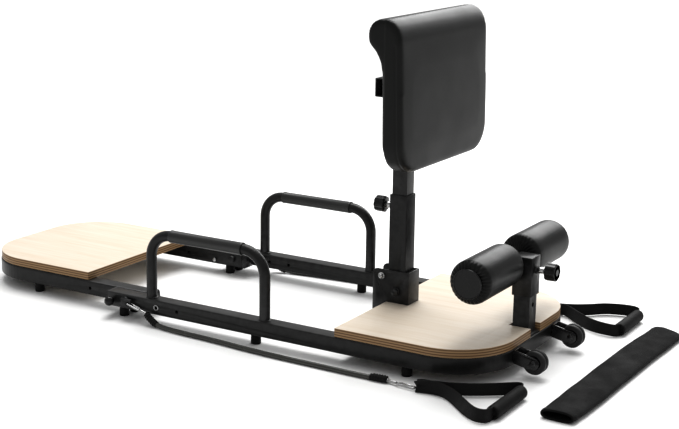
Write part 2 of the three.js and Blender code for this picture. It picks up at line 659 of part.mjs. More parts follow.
function pullBand(label, side, { ring, strands, grip }) {
  const route = BAND_ROUTES[label].map(([x, y, z]) => new THREE.Vector3(x, y, z));
  place(`band_${label}`, tubeAlong(route, BAND.radius, 10), 'rubber');
  const eye = new THREE.Vector3(FOLD.x + 9, side * (MAIN.half + 8), FOLD.z - 2);
  const start = route[0].clone().add(new THREE.Vector3(-3, 0, 2.2));
  place(`band_hook_${label}`, link(eye, start, new THREE.Vector3(0, 1, 0)), 'chrome');
  const tail = route[route.length - 1].clone().add(new THREE.Vector3(1, 0, 0));
  const ringEnd = new THREE.Vector3(ring[0], ring[1], 6);
  place(`handle_hook_${label}`, link(tail, ringEnd, new THREE.Vector3(0, 1, 0)), 'chrome');
  const strapTop = STRAP.bottom + STRAP.height;
  const webbing = strands.map((line) => slab(strandOutline(line), STRAP.bottom, strapTop));
  place(`handle_strap_${label}`, join(...webbing), 'webbing');
  const [gripX, y0, y1] = grip;
  const { radius, z } = HANDGRIP;
  const profile = [[0, y0], [radius - 2, y0], [radius, y0 + 3]];
  profile.push([radius, y1 - 3], [radius - 2, y1], [0, y1]);
  place(`hand_grip_${label}`, turnedY(profile, gripX, z, 16), 'foam');
}

function pullBands() {
  pullBand('near', -1, {
    ring: [311, -310.5],
    strands: [
      [
        [319, -311.5], [345, -311], [378, -317], [408, -334], [440, -362],
        [470, -388], [492, -400], [508, -396], [514, -380],
      ],
      [
        [319, -311.5], [345, -311], [386, -301], [425, -278],
        [464, -251], [492, -228], [506, -219], [514, -225],
      ],
    ],
    grip: [514.5, -373, -232],
  });
  pullBand('far', 1, {
    ring: [343, 337.5],
    strands: [
      [
        [351, 337.5], [375, 339], [402, 353], [428, 373], [455, 399],
        [490, 414], [518, 417], [536, 411], [541, 401],
      ],
      [
        [351, 337.5], [375, 339], [392, 327], [424, 298], [460, 270],
        [490, 255], [520, 249], [535, 252], [540.5, 259],
      ],
    ],
    grip: [541, 264, 396],
  });
}

// ---- loose padded sleeve ------------------------------------------------------------------------
function looseSleeve() {
  const { width, height, wall, x0, y0, x1, y1 } = SLEEVE;
  const flat = width / 2 - height / 2;
  const section = new THREE.Shape();
  section.absarc(flat, 0, height / 2, -Math.PI / 2, Math.PI / 2, false);
  section.absarc(-flat, 0, height / 2, Math.PI / 2, Math.PI * 1.5, false);
  const mouth = new THREE.Path();
  mouth.absarc(flat, 0, height / 2 - wall, Math.PI / 2, -Math.PI / 2, true);
  mouth.absarc(-flat, 0, height / 2 - wall, Math.PI * 1.5, Math.PI / 2, true);
  section.holes.push(mouth);
  const depth = Math.hypot(x1 - x0, y1 - y0);
  const tube = new THREE.ExtrudeGeometry(section, { depth, bevelEnabled: false, curveSegments: 4 });
  tube.rotateX(Math.PI / 2).translate(0, depth, 0).rotateZ(-Math.atan2(x1 - x0, y1 - y0));
  place('padded_sleeve', tube.translate(x0, y0, height / 2), 'webbing');
}

frameTubes();
tubePlugs();
foldHardware();
rubberFeet();
boards();
sideHandles();
postBracket();
postPivotBolt();
postTube();
sliderTube();
crossbar();
backPad();
backControls();
rollerPost();
rollerCarriage();
ankleRollers();
transportWheels();
pullBands();
looseSleeve();

machine.position.set(-CENTRE_X, -CENTRE_Y, 0);

export default machine;
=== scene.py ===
"""Looks of a folding home pilates reformer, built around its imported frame.

Lengths in the fields of pieces and of the studio are millimetres in the machine's own layout: +X towards
the wheels, +Y to the far side, +Z up, measured from the middle of the rails. Machine turns them into
frame metres. Finishes work on the frame's places, so their lengths are metres.
"""

import json  # noqa: E402
import logging  # noqa: E402
import math  # noqa: E402
from dataclasses import dataclass  # noqa: E402
from enum import Enum  # noqa: E402
from typing import Callable, Iterable, Sequence  # noqa: E402

import bmesh  # noqa: E402
import bpy  # noqa: E402
from mathutils import Matrix, Vector, noise  # noqa: E402

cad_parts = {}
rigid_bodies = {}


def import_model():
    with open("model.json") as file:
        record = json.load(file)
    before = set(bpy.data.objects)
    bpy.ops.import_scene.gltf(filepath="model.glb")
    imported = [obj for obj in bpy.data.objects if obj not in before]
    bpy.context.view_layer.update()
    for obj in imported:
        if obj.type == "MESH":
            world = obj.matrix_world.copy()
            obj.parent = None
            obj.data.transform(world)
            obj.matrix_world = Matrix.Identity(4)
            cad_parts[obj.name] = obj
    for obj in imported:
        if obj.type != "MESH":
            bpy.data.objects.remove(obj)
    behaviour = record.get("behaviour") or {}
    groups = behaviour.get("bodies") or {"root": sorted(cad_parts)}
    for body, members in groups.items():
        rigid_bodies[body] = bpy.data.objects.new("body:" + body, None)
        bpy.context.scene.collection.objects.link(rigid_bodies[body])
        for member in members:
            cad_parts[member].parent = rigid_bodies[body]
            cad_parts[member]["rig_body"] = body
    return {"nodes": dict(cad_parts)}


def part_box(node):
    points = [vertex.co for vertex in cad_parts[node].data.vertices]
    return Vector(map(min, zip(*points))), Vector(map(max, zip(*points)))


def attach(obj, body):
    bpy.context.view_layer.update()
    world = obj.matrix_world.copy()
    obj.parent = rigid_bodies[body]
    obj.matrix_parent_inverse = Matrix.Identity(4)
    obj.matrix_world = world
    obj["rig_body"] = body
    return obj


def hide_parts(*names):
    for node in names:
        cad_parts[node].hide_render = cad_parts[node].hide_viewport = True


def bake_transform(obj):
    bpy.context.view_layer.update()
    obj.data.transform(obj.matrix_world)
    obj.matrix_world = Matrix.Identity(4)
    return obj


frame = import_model()

LOG = logging.getLogger("reformer")
MM = 0.001

UP = Vector((0.0, 0.0, 1.0))
ALONG = Vector((1.0, 0.0, 0.0))
ACROSS = Vector((0.0, 1.0, 0.0))
LOWEST = 0.0003

Place = tuple[float, float, float]
Profile = list[tuple[float, float]]
Strand = tuple[float, float, float, float]
Piece = bpy.types.Object
Mesh = bmesh.types.BMesh
Socket = bpy.types.NodeSocket
Node = bpy.types.Node


class Side(Enum):
    """The two long sides of the machine."""

    NEAR = -1
    FAR = 1

    @property
    def label(self) -> str:
        """The word used in names."""
        return self.name.lower()

    @property
    def outward(self) -> Vector:
        """The direction away from the machine's middle."""
        return Vector((0.0, float(self.value), 0.0))


class Machine:
    """Turns the machine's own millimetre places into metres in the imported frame."""

    BOW_X = 444.0

    def __init__(self) -> None:
        """Finds the layout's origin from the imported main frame."""
        low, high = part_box("main_frame")
        self.origin = Vector((high.x - self.BOW_X * MM, (low.y + high.y) / 2, 0.0))

    def at(self, x: float, y: float, z: float) -> Vector:
        """Gives a place in frame metres."""
        return self.origin + Vector((x, y, z)) * MM

    def route(self, points: Iterable[Place]) -> list[Vector]:
        """Gives several places in frame metres."""
        return [self.at(*point) for point in points]

    def local(self, place: Vector) -> Vector:
        """Gives a place of the frame in the machine's own millimetres."""
        return (place - self.origin) / MM


MACHINE = Machine()


# ---- shader node work ----------------------------------------------------------------------------
class NodeBench:
    """Short words for laying out one node tree."""

    def __init__(self, tree: bpy.types.NodeTree) -> None:
        """Keeps the tree."""
        self.tree = tree

    def node(self, kind: str, **settings: object) -> Node:
        """Adds a node.

        Args:
            kind: the node's type without its ShaderNode prefix.
            settings: properties to set on it.

        Returns:
            The node.
        """
        made = self.tree.nodes.new(kind if kind.startswith("NodeGroup") else "ShaderNode" + kind)
        for key, value in settings.items():
            setattr(made, key, value)
        return made

    def feed(self, socket: Socket, value: object) -> None:
        """Links a socket to another, or sets its number or colour."""
        if isinstance(value, Socket):
            self.tree.links.new(value, socket)
        elif isinstance(value, tuple) and len(value) == 3 and socket.type == "RGBA":
            socket.default_value = (*value, 1.0)
        else:
            socket.default_value = value

    def math(self, operation: str, a: object, b: object = 0.0, clamp: bool = False) -> Socket:
        """Adds a Math node and gives its output."""
        made = self.node("Math", operation=operation, use_clamp=clamp)
        self.feed(made.inputs[0], a)
        self.feed(made.inputs[1], b)
        return made.outputs[0]

    def mix(self, factor: object, a: object, b: object, blend: str = "MIX") -> Socket:
        """Mixes two colours by a factor and gives the colour."""
        made = self.node("Mix", data_type="RGBA", blend_type=blend)
        self.feed(made.inputs[0], factor)
        self.feed(made.inputs[6], a)
        self.feed(made.inputs[7], b)
        return made.outputs[2]

    def span(
        self, value: object, low: float, high: float, to_low: float = 0.0, to_high: float = 1.0,
    ) -> Socket:
        """Maps a range of values to another, clamped, and gives the result."""
        made = self.node("MapRange")
        for slot, number in zip(made.inputs, (value, low, high, to_low, to_high)):
            self.feed(slot, number)
        return made.outputs[0]

    def noise(self, vector: object, scale: float, detail: float = 2.0, roughness: float = 0.5) -> Socket:
        """Adds a Noise Texture and gives its value."""
        made = self.node("TexNoise")
        self.feed(made.inputs["Vector"], vector)
        self.feed(made.inputs["Scale"], scale)
        self.feed(made.inputs["Detail"], detail)
        self.feed(made.inputs["Roughness"], roughness)
        return made.outputs["Fac"]

    def stretched(self, vector: object, scale: Place) -> Socket:
        """Scales a coordinate along its own axes and gives it."""
        made = self.node("Mapping")
        self.feed(made.inputs["Vector"], vector)
        made.inputs["Scale"].default_value = scale
        return made.outputs[0]

    def group(self, tree: bpy.types.NodeTree, **inputs: object) -> Node:
        """Places a node group and feeds its named inputs; an underscore stands for a space."""
        made = self.node("Group", node_tree=tree)
        for key, value in inputs.items():
            self.feed(made.inputs[key.replace("_", " ").capitalize()], value)
        return made


class SharedEffects:
    """The node groups that several finishes use, each built once."""

    QUARTER_WAVE = 1.5708

    def __init__(self) -> None:
        """Builds every group."""
        self.grain = self._grain()
        self.wear = self._wear()
        self.dust = self._dust()
        self.weave = self._weave()

    @staticmethod
    def _new(
        name: str, inputs: dict[str, float], outputs: Sequence[str],
    ) -> tuple[NodeBench, Node, Node]:
        """Starts a group with number inputs, an optional vector input and number outputs.

        Args:
            name: the group's name.
            inputs: input names with their usual values; the name Vector makes a vector socket.
            outputs: output names.

        Returns:
            The bench, the group's input node and its output node.
        """
        tree = bpy.data.node_groups.new(name, "ShaderNodeTree")
        for key, value in inputs.items():
            kind = "NodeSocketVector" if key == "Vector" else "NodeSocketFloat"
            socket = tree.interface.new_socket(name=key, in_out="INPUT", socket_type=kind)
            if key != "Vector":
                socket.default_value = value
        for key in outputs:
            tree.interface.new_socket(name=key, in_out="OUTPUT", socket_type="NodeSocketFloat")
        bench = NodeBench(tree)
        return bench, bench.node("NodeGroupInput"), bench.node("NodeGroupOutput")

    def _grain(self) -> bpy.types.NodeTree:
        """A pebbled surface: its height, and a slow mottling for roughness and colour."""
        inputs = {"Vector": 0, "Scale": 900, "Mottle": 14}
        bench, given, out = self._new("surface_grain", inputs, ("Height", "Mottle"))
        cells = bench.node("TexVoronoi")
        bench.feed(cells.inputs["Vector"], given.outputs["Vector"])
        bench.feed(cells.inputs["Scale"], given.outputs["Scale"])
        fine = bench.node("TexNoise")
        bench.feed(fine.inputs["Vector"], given.outputs["Vector"])
        bench.feed(fine.inputs["Scale"], given.outputs["Scale"])
        pebbles = bench.math("MULTIPLY", cells.outputs["Distance"], 0.6)
        pores = bench.math("MULTIPLY", fine.outputs["Fac"], 0.4)
        bench.feed(out.inputs["Height"], bench.math("ADD", pebbles, pores))
        slow = bench.node("TexNoise")
        bench.feed(slow.inputs["Vector"], given.outputs["Vector"])
        bench.feed(slow.inputs["Scale"], given.outputs["Mottle"])
        bench.feed(slow.inputs["Detail"], 4.0)
        bench.feed(out.inputs["Mottle"], bench.span(slow.outputs["Fac"], 0.3, 0.7))
        return bench.tree

    def _wear(self) -> bpy.types.NodeTree:
        """A mask of edge wear and painted edge highlight: bright on raised edges, broken up by noise."""
        bench, given, out = self._new("edge_wear", {"Vector": 0, "Amount": 0.5}, ("Mask",))
        edge = bench.span(bench.node("NewGeometry").outputs["Pointiness"], 0.51, 0.57)
        broken = bench.span(bench.noise(given.outputs["Vector"], 60.0, 5.0), 0.3, 0.65)
        edge_wear_and_highlight_mask = bench.math("MULTIPLY", edge, broken)
        bench.feed(out.inputs["Mask"], bench.math("MULTIPLY", edge_wear_and_highlight_mask, given.outputs["Amount"], clamp=True))
        return bench.tree

    def _dust(self) -> bpy.types.NodeTree:
        """A mask of fine dust on faces that look up; the same mask paints those faces lighter, as painted
        light on top faces.
        """
        bench, given, out = self._new("settled_dust", {"Vector": 0, "Amount": 0.2}, ("Mask",))
        up = bench.node("SeparateXYZ")
        bench.feed(up.inputs[0], bench.node("TexCoord").outputs["Normal"])
        top = bench.span(up.outputs["Z"], 0.3, 0.95)
        speckle = bench.span(bench.noise(given.outputs["Vector"], 35.0, 6.0, 0.65), 0.25, 0.75)
        dust_and_top_light_mask = bench.math("MULTIPLY", top, speckle)
        bench.feed(out.inputs["Mask"], bench.math("MULTIPLY", dust_and_top_light_mask, given.outputs["Amount"]))
        return bench.tree

    def _weave(self) -> bpy.types.NodeTree:
        """Crossed yarns of a plain weave: their height and a shade between them."""
        bench, given, out = self._new("plain_weave", {"Vector": 0, "Yarns": 900}, ("Height", "Shade"))
        waves = []
        for direction, offset in (("X", 0.0), ("Y", self.QUARTER_WAVE)):
            wave = bench.node("TexWave", bands_direction=direction, wave_profile="SIN")
            bench.feed(wave.inputs["Vector"], given.outputs["Vector"])
            bench.feed(wave.inputs["Scale"], given.outputs["Yarns"])
            wave.inputs["Distortion"].default_value = 0.6
            wave.inputs["Detail Scale"].default_value = 0.2
            wave.inputs["Phase Offset"].default_value = offset
            waves.append(wave.outputs["Fac"])
        bench.feed(out.inputs["Height"], bench.math("MAXIMUM", *waves))
        bench.feed(out.inputs["Shade"], bench.math("MULTIPLY", *waves))
        return bench.tree


EFFECTS = SharedEffects()


@dataclass(frozen=True)
class Finish:
    """A procedural finish with grain, mottling, dust that also paints top faces lighter as painted light, and
    worn edges that also carry a painted edge highlight.
    """

    name: str
    colour: Place
    # The colour painted on raised edges, part edge wear and part painted edge highlight; cloth uses it as the
    # pale end of a random mottle.
    light: Place = (0.06, 0.06, 0.062)
    roughness: float = 0.5
    roughness_spread: float = 0.1
    shade_spread: float = 0.25
    grain_scale: float = 900.0
    grain_height: float = 0.00012
    grain_strength: float = 0.5
    # Dust on faces that look up, which also paints those faces lighter as painted light.
    dust: float = 0.0
    dust_colour: Place = (0.3, 0.3, 0.29)
    # How much raised edges are painted light: part edge wear, part painted edge highlight.
    wear: float = 0.0
    metallic: float = 0.0
    specular: float = 0.5
    coat: float = 0.0
    coat_roughness: float = 0.2
    sheen: float = 0.0

    def coordinates(self, bench: NodeBench) -> Socket:
        """Gives the coordinate that the patterns follow."""
        return bench.node("TexCoord").outputs["Object"]

    def darker(self) -> Place:
        """The colour's dark end."""
        return tuple(part * (1 - self.shade_spread) for part in self.colour)

    def spread_roughness(self, bench: NodeBench, mask: Socket, low: float = 0.0, high: float = 1.0) -> Socket:
        """Varies the roughness about its middle as a mask goes from low to high."""
        spread = self.roughness_spread
        return bench.span(mask, low, high, self.roughness - spread, self.roughness + spread)

    def paint(self, bench: NodeBench, where: Socket) -> tuple[object, object, object]:
        """Lays out colour, roughness and height.

        Args:
            bench: the material's bench.
            where: the coordinate that the patterns follow.

        Returns:
            The colour, the roughness and the height.
        """
        grain = bench.group(EFFECTS.grain, vector=where, scale=self.grain_scale)
        mottle = grain.outputs["Mottle"]
        colour = bench.mix(mottle, self.darker(), self.colour)
        roughness = self.spread_roughness(bench, mottle)
        # Raised edges painted light: part edge wear, part painted edge highlight.
        if self.wear:
            edge_wear_and_highlight_mask = bench.group(EFFECTS.wear, vector=where, amount=self.wear).outputs["Mask"]
            colour = bench.mix(edge_wear_and_highlight_mask, colour, self.light)
        # Faces that look up are painted towards the dust colour: some real dust, and painted light on top
        # faces.
        if self.dust:
            dust_and_top_light_mask = bench.group(EFFECTS.dust, vector=where, amount=self.dust).outputs["Mask"]
            colour = bench.mix(dust_and_top_light_mask, colour, self.dust_colour)
            roughness = bench.math("ADD", roughness, bench.math("MULTIPLY", dust_and_top_light_mask, 0.6), clamp=True)
        return colour, roughness, grain.outputs["Height"]

    def build(self) -> bpy.types.Material:
        """Makes the material, once."""
        known = bpy.data.materials.get(self.name)
        if known:
            return known
        material = bpy.data.materials.new(self.name)
        material.use_nodes = True
        bench = NodeBench(material.node_tree)
        shader = material.node_tree.nodes["Principled BSDF"]
        colour, roughness, height = self.paint(bench, self.coordinates(bench))
        bench.feed(shader.inputs["Base Color"], colour)
        bench.feed(shader.inputs["Roughness"], roughness)
        bump = bench.node("Bump")
        bump.inputs["Strength"].default_value = self.grain_strength
        bump.inputs["Distance"].default_value = self.grain_height
        bench.feed(bump.inputs["Height"], height)
        bench.feed(shader.inputs["Normal"], bump.outputs[0])
        shader.inputs["Metallic"].default_value = self.metallic
        shader.inputs["Specular IOR Level"].default_value = self.specular
        shader.inputs["Coat Weight"].default_value = self.coat
        shader.inputs["Coat Roughness"].default_value = self.coat_roughness
        shader.inputs["Sheen Weight"].default_value = self.sheen
        material.diffuse_color = (*self.colour, 1.0)
        return material


@dataclass(frozen=True)
class BirchPly(Finish):
    """Birch plywood: pale streaked faces, and a striped edge of alternate plies."""

    plies: int = 7
    board_low: float = 0.0603
    board_thick: float = 0.020
    dark_ply: Place = (0.07, 0.035, 0.014)
    light_ply: Place = (0.4, 0.26, 0.135)
    ply_fibre: Place = (0.30, 0.19, 0.10)
    streak_shade: Place = (0.91, 0.87, 0.81)

    def paint(self, bench: NodeBench, where: Socket) -> tuple[object, object, object]:
        """Lays out the face grain and the edge plies; see Finish.paint."""
        streaks = bench.noise(bench.stretched(where, (1.6, 26.0, 26.0)), 3.0, 6.0, 0.6)
        fine = bench.noise(bench.stretched(where, (9.0, 320.0, 320.0)), 3.0, 3.0)
        tone = bench.math("ADD", bench.math("MULTIPLY", streaks, 0.7), bench.math("MULTIPLY", fine, 0.3))
        warm = tuple(part * shade for part, shade in zip(self.colour, self.streak_shade))
        face = bench.mix(bench.span(tone, 0.36, 0.62), warm, self.colour)
        parts = bench.node("SeparateXYZ")
        bench.feed(parts.inputs[0], where)
        board_high = self.board_low + self.board_thick
        ply = bench.span(parts.outputs["Z"], self.board_low, board_high, 0.0, self.plies)
        wander = bench.math("MULTIPLY", bench.noise(bench.stretched(where, (5.0, 5.0, 1.0)), 2.0), 0.2)
        stripe = bench.math("PINGPONG", bench.math("ADD", ply, wander), 1.0)
        fibre = bench.noise(bench.stretched(where, (60.0, 60.0, 900.0)), 3.0, 4.0)
        sides = bench.mix(bench.span(stripe, 0.25, 0.75), self.dark_ply, self.light_ply)
        sides = bench.mix(bench.math("MULTIPLY", fibre, 0.55), sides, self.ply_fibre)
        normal = bench.node("SeparateXYZ")
        bench.feed(normal.inputs[0], bench.node("TexCoord").outputs["Normal"])
        flat = bench.span(bench.math("ABSOLUTE", normal.outputs["Z"]), 0.45, 0.85)
        height = bench.math("ADD", fine, bench.math("MULTIPLY", stripe, 0.6))
        return bench.mix(flat, sides, face), self.spread_roughness(bench, tone, 0.3, 0.7), height


@dataclass(frozen=True)
class WovenCloth(Finish):
    """Cloth with crossed yarns, on the piece's own UV map or on object places."""

    yarns: float = 60.0
    on_uv: bool = True

    def coordinates(self, bench: NodeBench) -> Socket:
        """Gives the UV map or the object place."""
        return bench.node("TexCoord").outputs["UV" if self.on_uv else "Object"]

    def paint(self, bench: NodeBench, where: Socket) -> tuple[object, object, object]:
        """Lays out the yarns; see Finish.paint."""
        yarn = bench.group(EFFECTS.weave, vector=where, yarns=self.yarns)
        place = bench.node("TexCoord").outputs["Object"]
        mottle = bench.span(bench.noise(place, 24.0, 4.0), 0.3, 0.7)
        lit = bench.mix(mottle, self.colour, self.light)
        colour = bench.mix(yarn.outputs["Shade"], self.darker(), lit)
        return colour, self.spread_roughness(bench, mottle), yarn.outputs["Height"]


@dataclass(frozen=True)
class BoardLine:
    """The finishes of this machine."""

    # The powder coat's dust amount mostly paints its top faces lighter as painted light, with a little real
    # dust. The wear amounts here paint raised edges light, part edge wear and part painted edge highlight.
    powder: Finish = Finish(
        "satin_black_powder_coat", (0.0058, 0.0058, 0.0054), specular=0.33, roughness=0.33,
        roughness_spread=0.05, grain_scale=1400, grain_height=0.00006, grain_strength=0.35, dust=0.1,
        wear=0.5,
    )
    gloss: Finish = Finish(
        "gloss_black_bracket", (0.005, 0.005, 0.005), specular=0.35, roughness=0.2, roughness_spread=0.05,
        grain_scale=700, grain_height=0.00003, grain_strength=0.3, wear=0.4, coat=0.5,
    )
    birch: BirchPly = BirchPly(
        "lacquered_birch_ply", (0.75, 0.675, 0.58), specular=0.3, roughness=0.46, roughness_spread=0.07,
        grain_height=0.00012, grain_strength=0.25,
    )
    vinyl: Finish = Finish(
        "black_grained_vinyl", (0.0065, 0.0068, 0.0064), specular=0.23, roughness=0.37,
        roughness_spread=0.04, grain_scale=1100, grain_height=0.00022, grain_strength=0.34, shade_spread=0.15,
    )
    foam: Finish = Finish(
        "black_closed_cell_foam", (0.019, 0.019, 0.018), specular=0.6, roughness=0.38,
        roughness_spread=0.06, grain_scale=1300, grain_height=0.00025, grain_strength=0.5, dust=0.015,
    )
    hand_foam: Finish = Finish(
        "knurled_hand_grip_foam", (0.0065, 0.0065, 0.0063), specular=0.2, roughness=0.68,
        roughness_spread=0.05, grain_scale=420, grain_height=0.0006, grain_strength=0.7,
    )
    rubber: Finish = Finish(
        "moulded_black_rubber", (0.008, 0.008, 0.008), specular=0.2, roughness=0.6, grain_scale=800,
        grain_height=0.0002, dust=0.03,
    )
    tyre: Finish = Finish(
        "grey_black_tyre", (0.02, 0.02, 0.02), specular=0.3, roughness=0.5, grain_scale=500,
        grain_height=0.0003, dust=0.04, wear=0.3,
    )
    latex: Finish = Finish(
        "smooth_latex_tube", (0.036, 0.037, 0.031), specular=0.7, roughness=0.24, roughness_spread=0.08,
        grain_scale=500, grain_height=0.0001, grain_strength=0.25, dust=0.02,
    )
    plastic: Finish = Finish(
        "moulded_black_plastic", (0.006, 0.006, 0.006), specular=0.32, roughness=0.24, roughness_spread=0.06,
        grain_scale=600, grain_height=0.00006, grain_strength=0.3, wear=0.5,
    )
    chrome: Finish = Finish(
        "bright_plated_steel", (0.42, 0.42, 0.42), roughness=0.2, roughness_spread=0.06, shade_spread=0.12,
        grain_scale=300, grain_height=0.00003, grain_strength=0.2, metallic=1.0,
    )
    webbing: WovenCloth = WovenCloth(
        "woven_nylon_webbing", (0.008, 0.008, 0.008), light=(0.016, 0.016, 0.016), specular=0.2,
        roughness=0.6, yarns=5.0, grain_height=0.0006, grain_strength=0.6, shade_spread=0.5, sheen=0.02,
    )
    cover: WovenCloth = WovenCloth(
        "woven_sleeve_cover", (0.0075, 0.0075, 0.0075), light=(0.013, 0.013, 0.013), specular=0.15,
        roughness=0.8, yarns=220.0, on_uv=False, grain_height=0.0004, grain_strength=0.6,
        shade_spread=0.4, sheen=0.03,
    )


LINE = BoardLine()


# ---- mesh work -----------------------------------------------------------------------------------
def wear(piece: Piece, finish: Finish) -> Piece:
    """Gives a piece one finish all over."""
    piece.data.materials.clear()
    piece.data.materials.append(finish.build())
    return piece


def to_piece(name: str, bm: Mesh, finish: Finish, sharp: float = 40.0) -> Piece:
    """Turns a finished bmesh into a smooth-shaded object at the origin.

    Args:
        name: the piece's name.
        bm: the mesh; it is freed.
        finish: what it wears.
        sharp: the edge angle, in degrees, from which an edge stays sharp.

    Returns:
        The object.
    """
    bmesh.ops.remove_doubles(bm, verts=bm.verts, dist=1e-6)
    bmesh.ops.recalc_face_normals(bm, faces=bm.faces)
    mesh = bpy.data.meshes.new(name)
    bm.to_mesh(mesh)
    bm.free()
    smooth_shading(mesh, sharp)
    piece = bpy.data.objects.new(name, mesh)
    bpy.context.scene.collection.objects.link(piece)
    return wear(piece, finish)


def smooth_shading(mesh: bpy.types.Mesh, sharp: float) -> None:
    """Shades a mesh smooth, with edges over the given angle kept sharp."""
    mesh.polygons.foreach_set("use_smooth", [True] * len(mesh.polygons))
    mesh.set_sharp_from_angle(angle=math.radians(sharp))


def settle(piece: Piece, sharp: float = 40.0) -> Piece:
    """Applies a piece's modifiers to its mesh."""
    bpy.context.view_layer.update()
    graph = bpy.context.evaluated_depsgraph_get()
    mesh = bpy.data.meshes.new_from_object(piece.evaluated_get(graph))
    piece.modifiers.clear()
    piece.data = mesh
    smooth_shading(mesh, sharp)
    return piece


def ease_edges(piece: Piece, width: float, segments: int = 2, angle: float = 40.0) -> Piece:
    """Rounds every edge sharper than an angle, and applies it.

    Args:
        piece: the piece.
        width: the bevel's width in millimetres.
        segments: its steps.
        angle: the least edge angle in degrees.

    Returns:
        The piece.
    """
    bevel = piece.modifiers.new("eased", "BEVEL")
    bevel.width = width * MM
    bevel.segments = segments
    bevel.limit_method = "ANGLE"
    bevel.angle_limit = math.radians(angle)
    return settle(piece)


def carve(piece: Piece, cutters: Sequence[Piece]) -> Piece:
    """Cuts shapes out of a piece and throws the cutters away."""
    for cutter in cutters:
        cutting = piece.modifiers.new("cut", "BOOLEAN")
        cutting.operation = "DIFFERENCE"
        cutting.solver = "EXACT"
        cutting.object = cutter
    settle(piece)
    for cutter in cutters:
        bpy.data.objects.remove(cutter)
    return piece


def round_off(bm: Mesh, parts: Sequence[object], width: float, segments: int, kind: str) -> None:
    """Rounds chosen edges or corner points of a mesh by a width in millimetres.

    Args:
        bm: the mesh.
        parts: its edges or points.
        width: the rounding's width.
        segments: its steps.
        kind: "EDGES" or "VERTICES".
    """
    bmesh.ops.bevel(
        bm, geom=parts, offset=width * MM, segments=segments, profile=0.5, affect=kind, material=-1,
        offset_type="OFFSET",
    )


def disc_section(radius: float, sides: int) -> Mesh:
    """A flat round face about the origin, in millimetres."""
    bm = bmesh.new()
    bmesh.ops.create_circle(bm, cap_ends=True, radius=radius * MM, segments=sides)
    return bm


def box_section(width: float, height: float, corner: float, steps: int = 4) -> Mesh:
    """A flat rectangle about the origin with rounded corners, in millimetres."""
    bm = bmesh.new()
    bmesh.ops.create_grid(bm, x_segments=1, y_segments=1, size=0.5)
    bmesh.ops.scale(bm, vec=(width * MM, height * MM, 1.0), verts=bm.verts)
    round_off(bm, bm.verts[:], corner, steps, "VERTICES")
    return bm


def place_frames(points: Sequence[Vector], up: Vector | Sequence[Vector] = UP) -> list[Matrix]:
    """Stands a frame on each point of a path, its third axis along the path.

    Args:
        points: the path in metres.
        up: the second axis before it is squared up, one for all or one for each point.

    Returns:
        A matrix for each point.
    """
    frames = []
    last = len(points) - 1
    for index, point in enumerate(points):
        ahead = points[min(index + 1, last)] - point
        behind = point - points[max(index - 1, 0)]
        along = (ahead.normalized() + behind.normalized()).normalized()
        lift = up if isinstance(up, Vector) else up[index]
        across = lift.cross(along).normalized()
        rise = along.cross(across).normalized()
        matrix = Matrix((across, rise, along)).transposed().to_4x4()
        matrix.translation = point
        frames.append(matrix)
    return frames


def sweep(section: Mesh, frames: Sequence[Matrix]) -> Mesh:
    """Carries a flat face through frames, and leaves it closed at both ends.

    Args:
        section: a mesh of one face about the origin.
        frames: where the section stands, in order.

    Returns:
        The same mesh, swept. Its points hold their place along the path in the layer "along".
    """
    along = section.verts.layers.float.new("along")
    bmesh.ops.transform(section, matrix=frames[0], verts=section.verts)
    section.faces.ensure_lookup_table()
    face = section.faces[0]
    length = 0.0
    for before, after in zip(frames, frames[1:]):
        length += (after.translation - before.translation).length
        made = bmesh.ops.extrude_face_region(section, geom=[face])["geom"]
        verts = [part for part in made if isinstance(part, bmesh.types.BMVert)]
        face = next(part for part in made if isinstance(part, bmesh.types.BMFace))
        bmesh.ops.transform(section, matrix=after @ before.inverted(), verts=verts)
        for vert in verts:
            vert[along] = length
    return section


def turned(profile: Profile, middle: Vector, axis: Vector, steps: int = 48) -> Mesh:
    """Turns a profile of (place along the axis, radius) pairs into a round solid, in millimetres.

    Args:
        profile: from one end to the other; a radius of 0 closes an end.
        middle: the axis's own origin, in metres.
        axis: its direction.
        steps: faces around.

    Returns:
        The mesh.
    """
    bm = bmesh.new()
    side = axis.orthogonal().normalized()
    verts = [bm.verts.new(middle + axis * place * MM + side * radius * MM) for place, radius in profile]
    edges = [bm.edges.new(pair) for pair in zip(verts, verts[1:])]
    bmesh.ops.spin(
        bm, geom=verts + edges, cent=middle, axis=axis, angle=math.tau, steps=steps, use_merge=True,
        dvec=(0.0, 0.0, 0.0),
    )
    bmesh.ops.remove_doubles(bm, verts=bm.verts, dist=1e-6)
    return bm


def rounded_profile(length: float, radius: float, corner: float, steps: int = 4) -> Profile:
    """A solid rod's profile from 0 to its length, with both ends rounded."""
    profile = [(0.0, 0.0)]
    for end, start in ((corner, math.pi), (length - corner, math.pi / 2)):
        for step in range(steps + 1):
            angle = start - step / steps * math.pi / 2
            profile.append((end + corner * math.cos(angle), radius - corner + corner * math.sin(angle)))
    profile.append((length, 0.0))
    return profile


def both_ends(end: Profile, length: float, middle: Profile) -> Profile:
    """A profile with the same end twice, the second one mirrored, and points between them."""
    return [*end, *middle, *((length - place, radius) for place, radius in reversed(end))]


def drill(start: Vector, end: Vector, radius: float) -> Piece:
    """A round cutter between two places, with a radius in millimetres."""
    axis = end - start
    profile = rounded_profile(axis.length / MM, radius, 0.5)
    return to_piece("cutter", turned(profile, start, axis.normalized(), 24), LINE.powder)


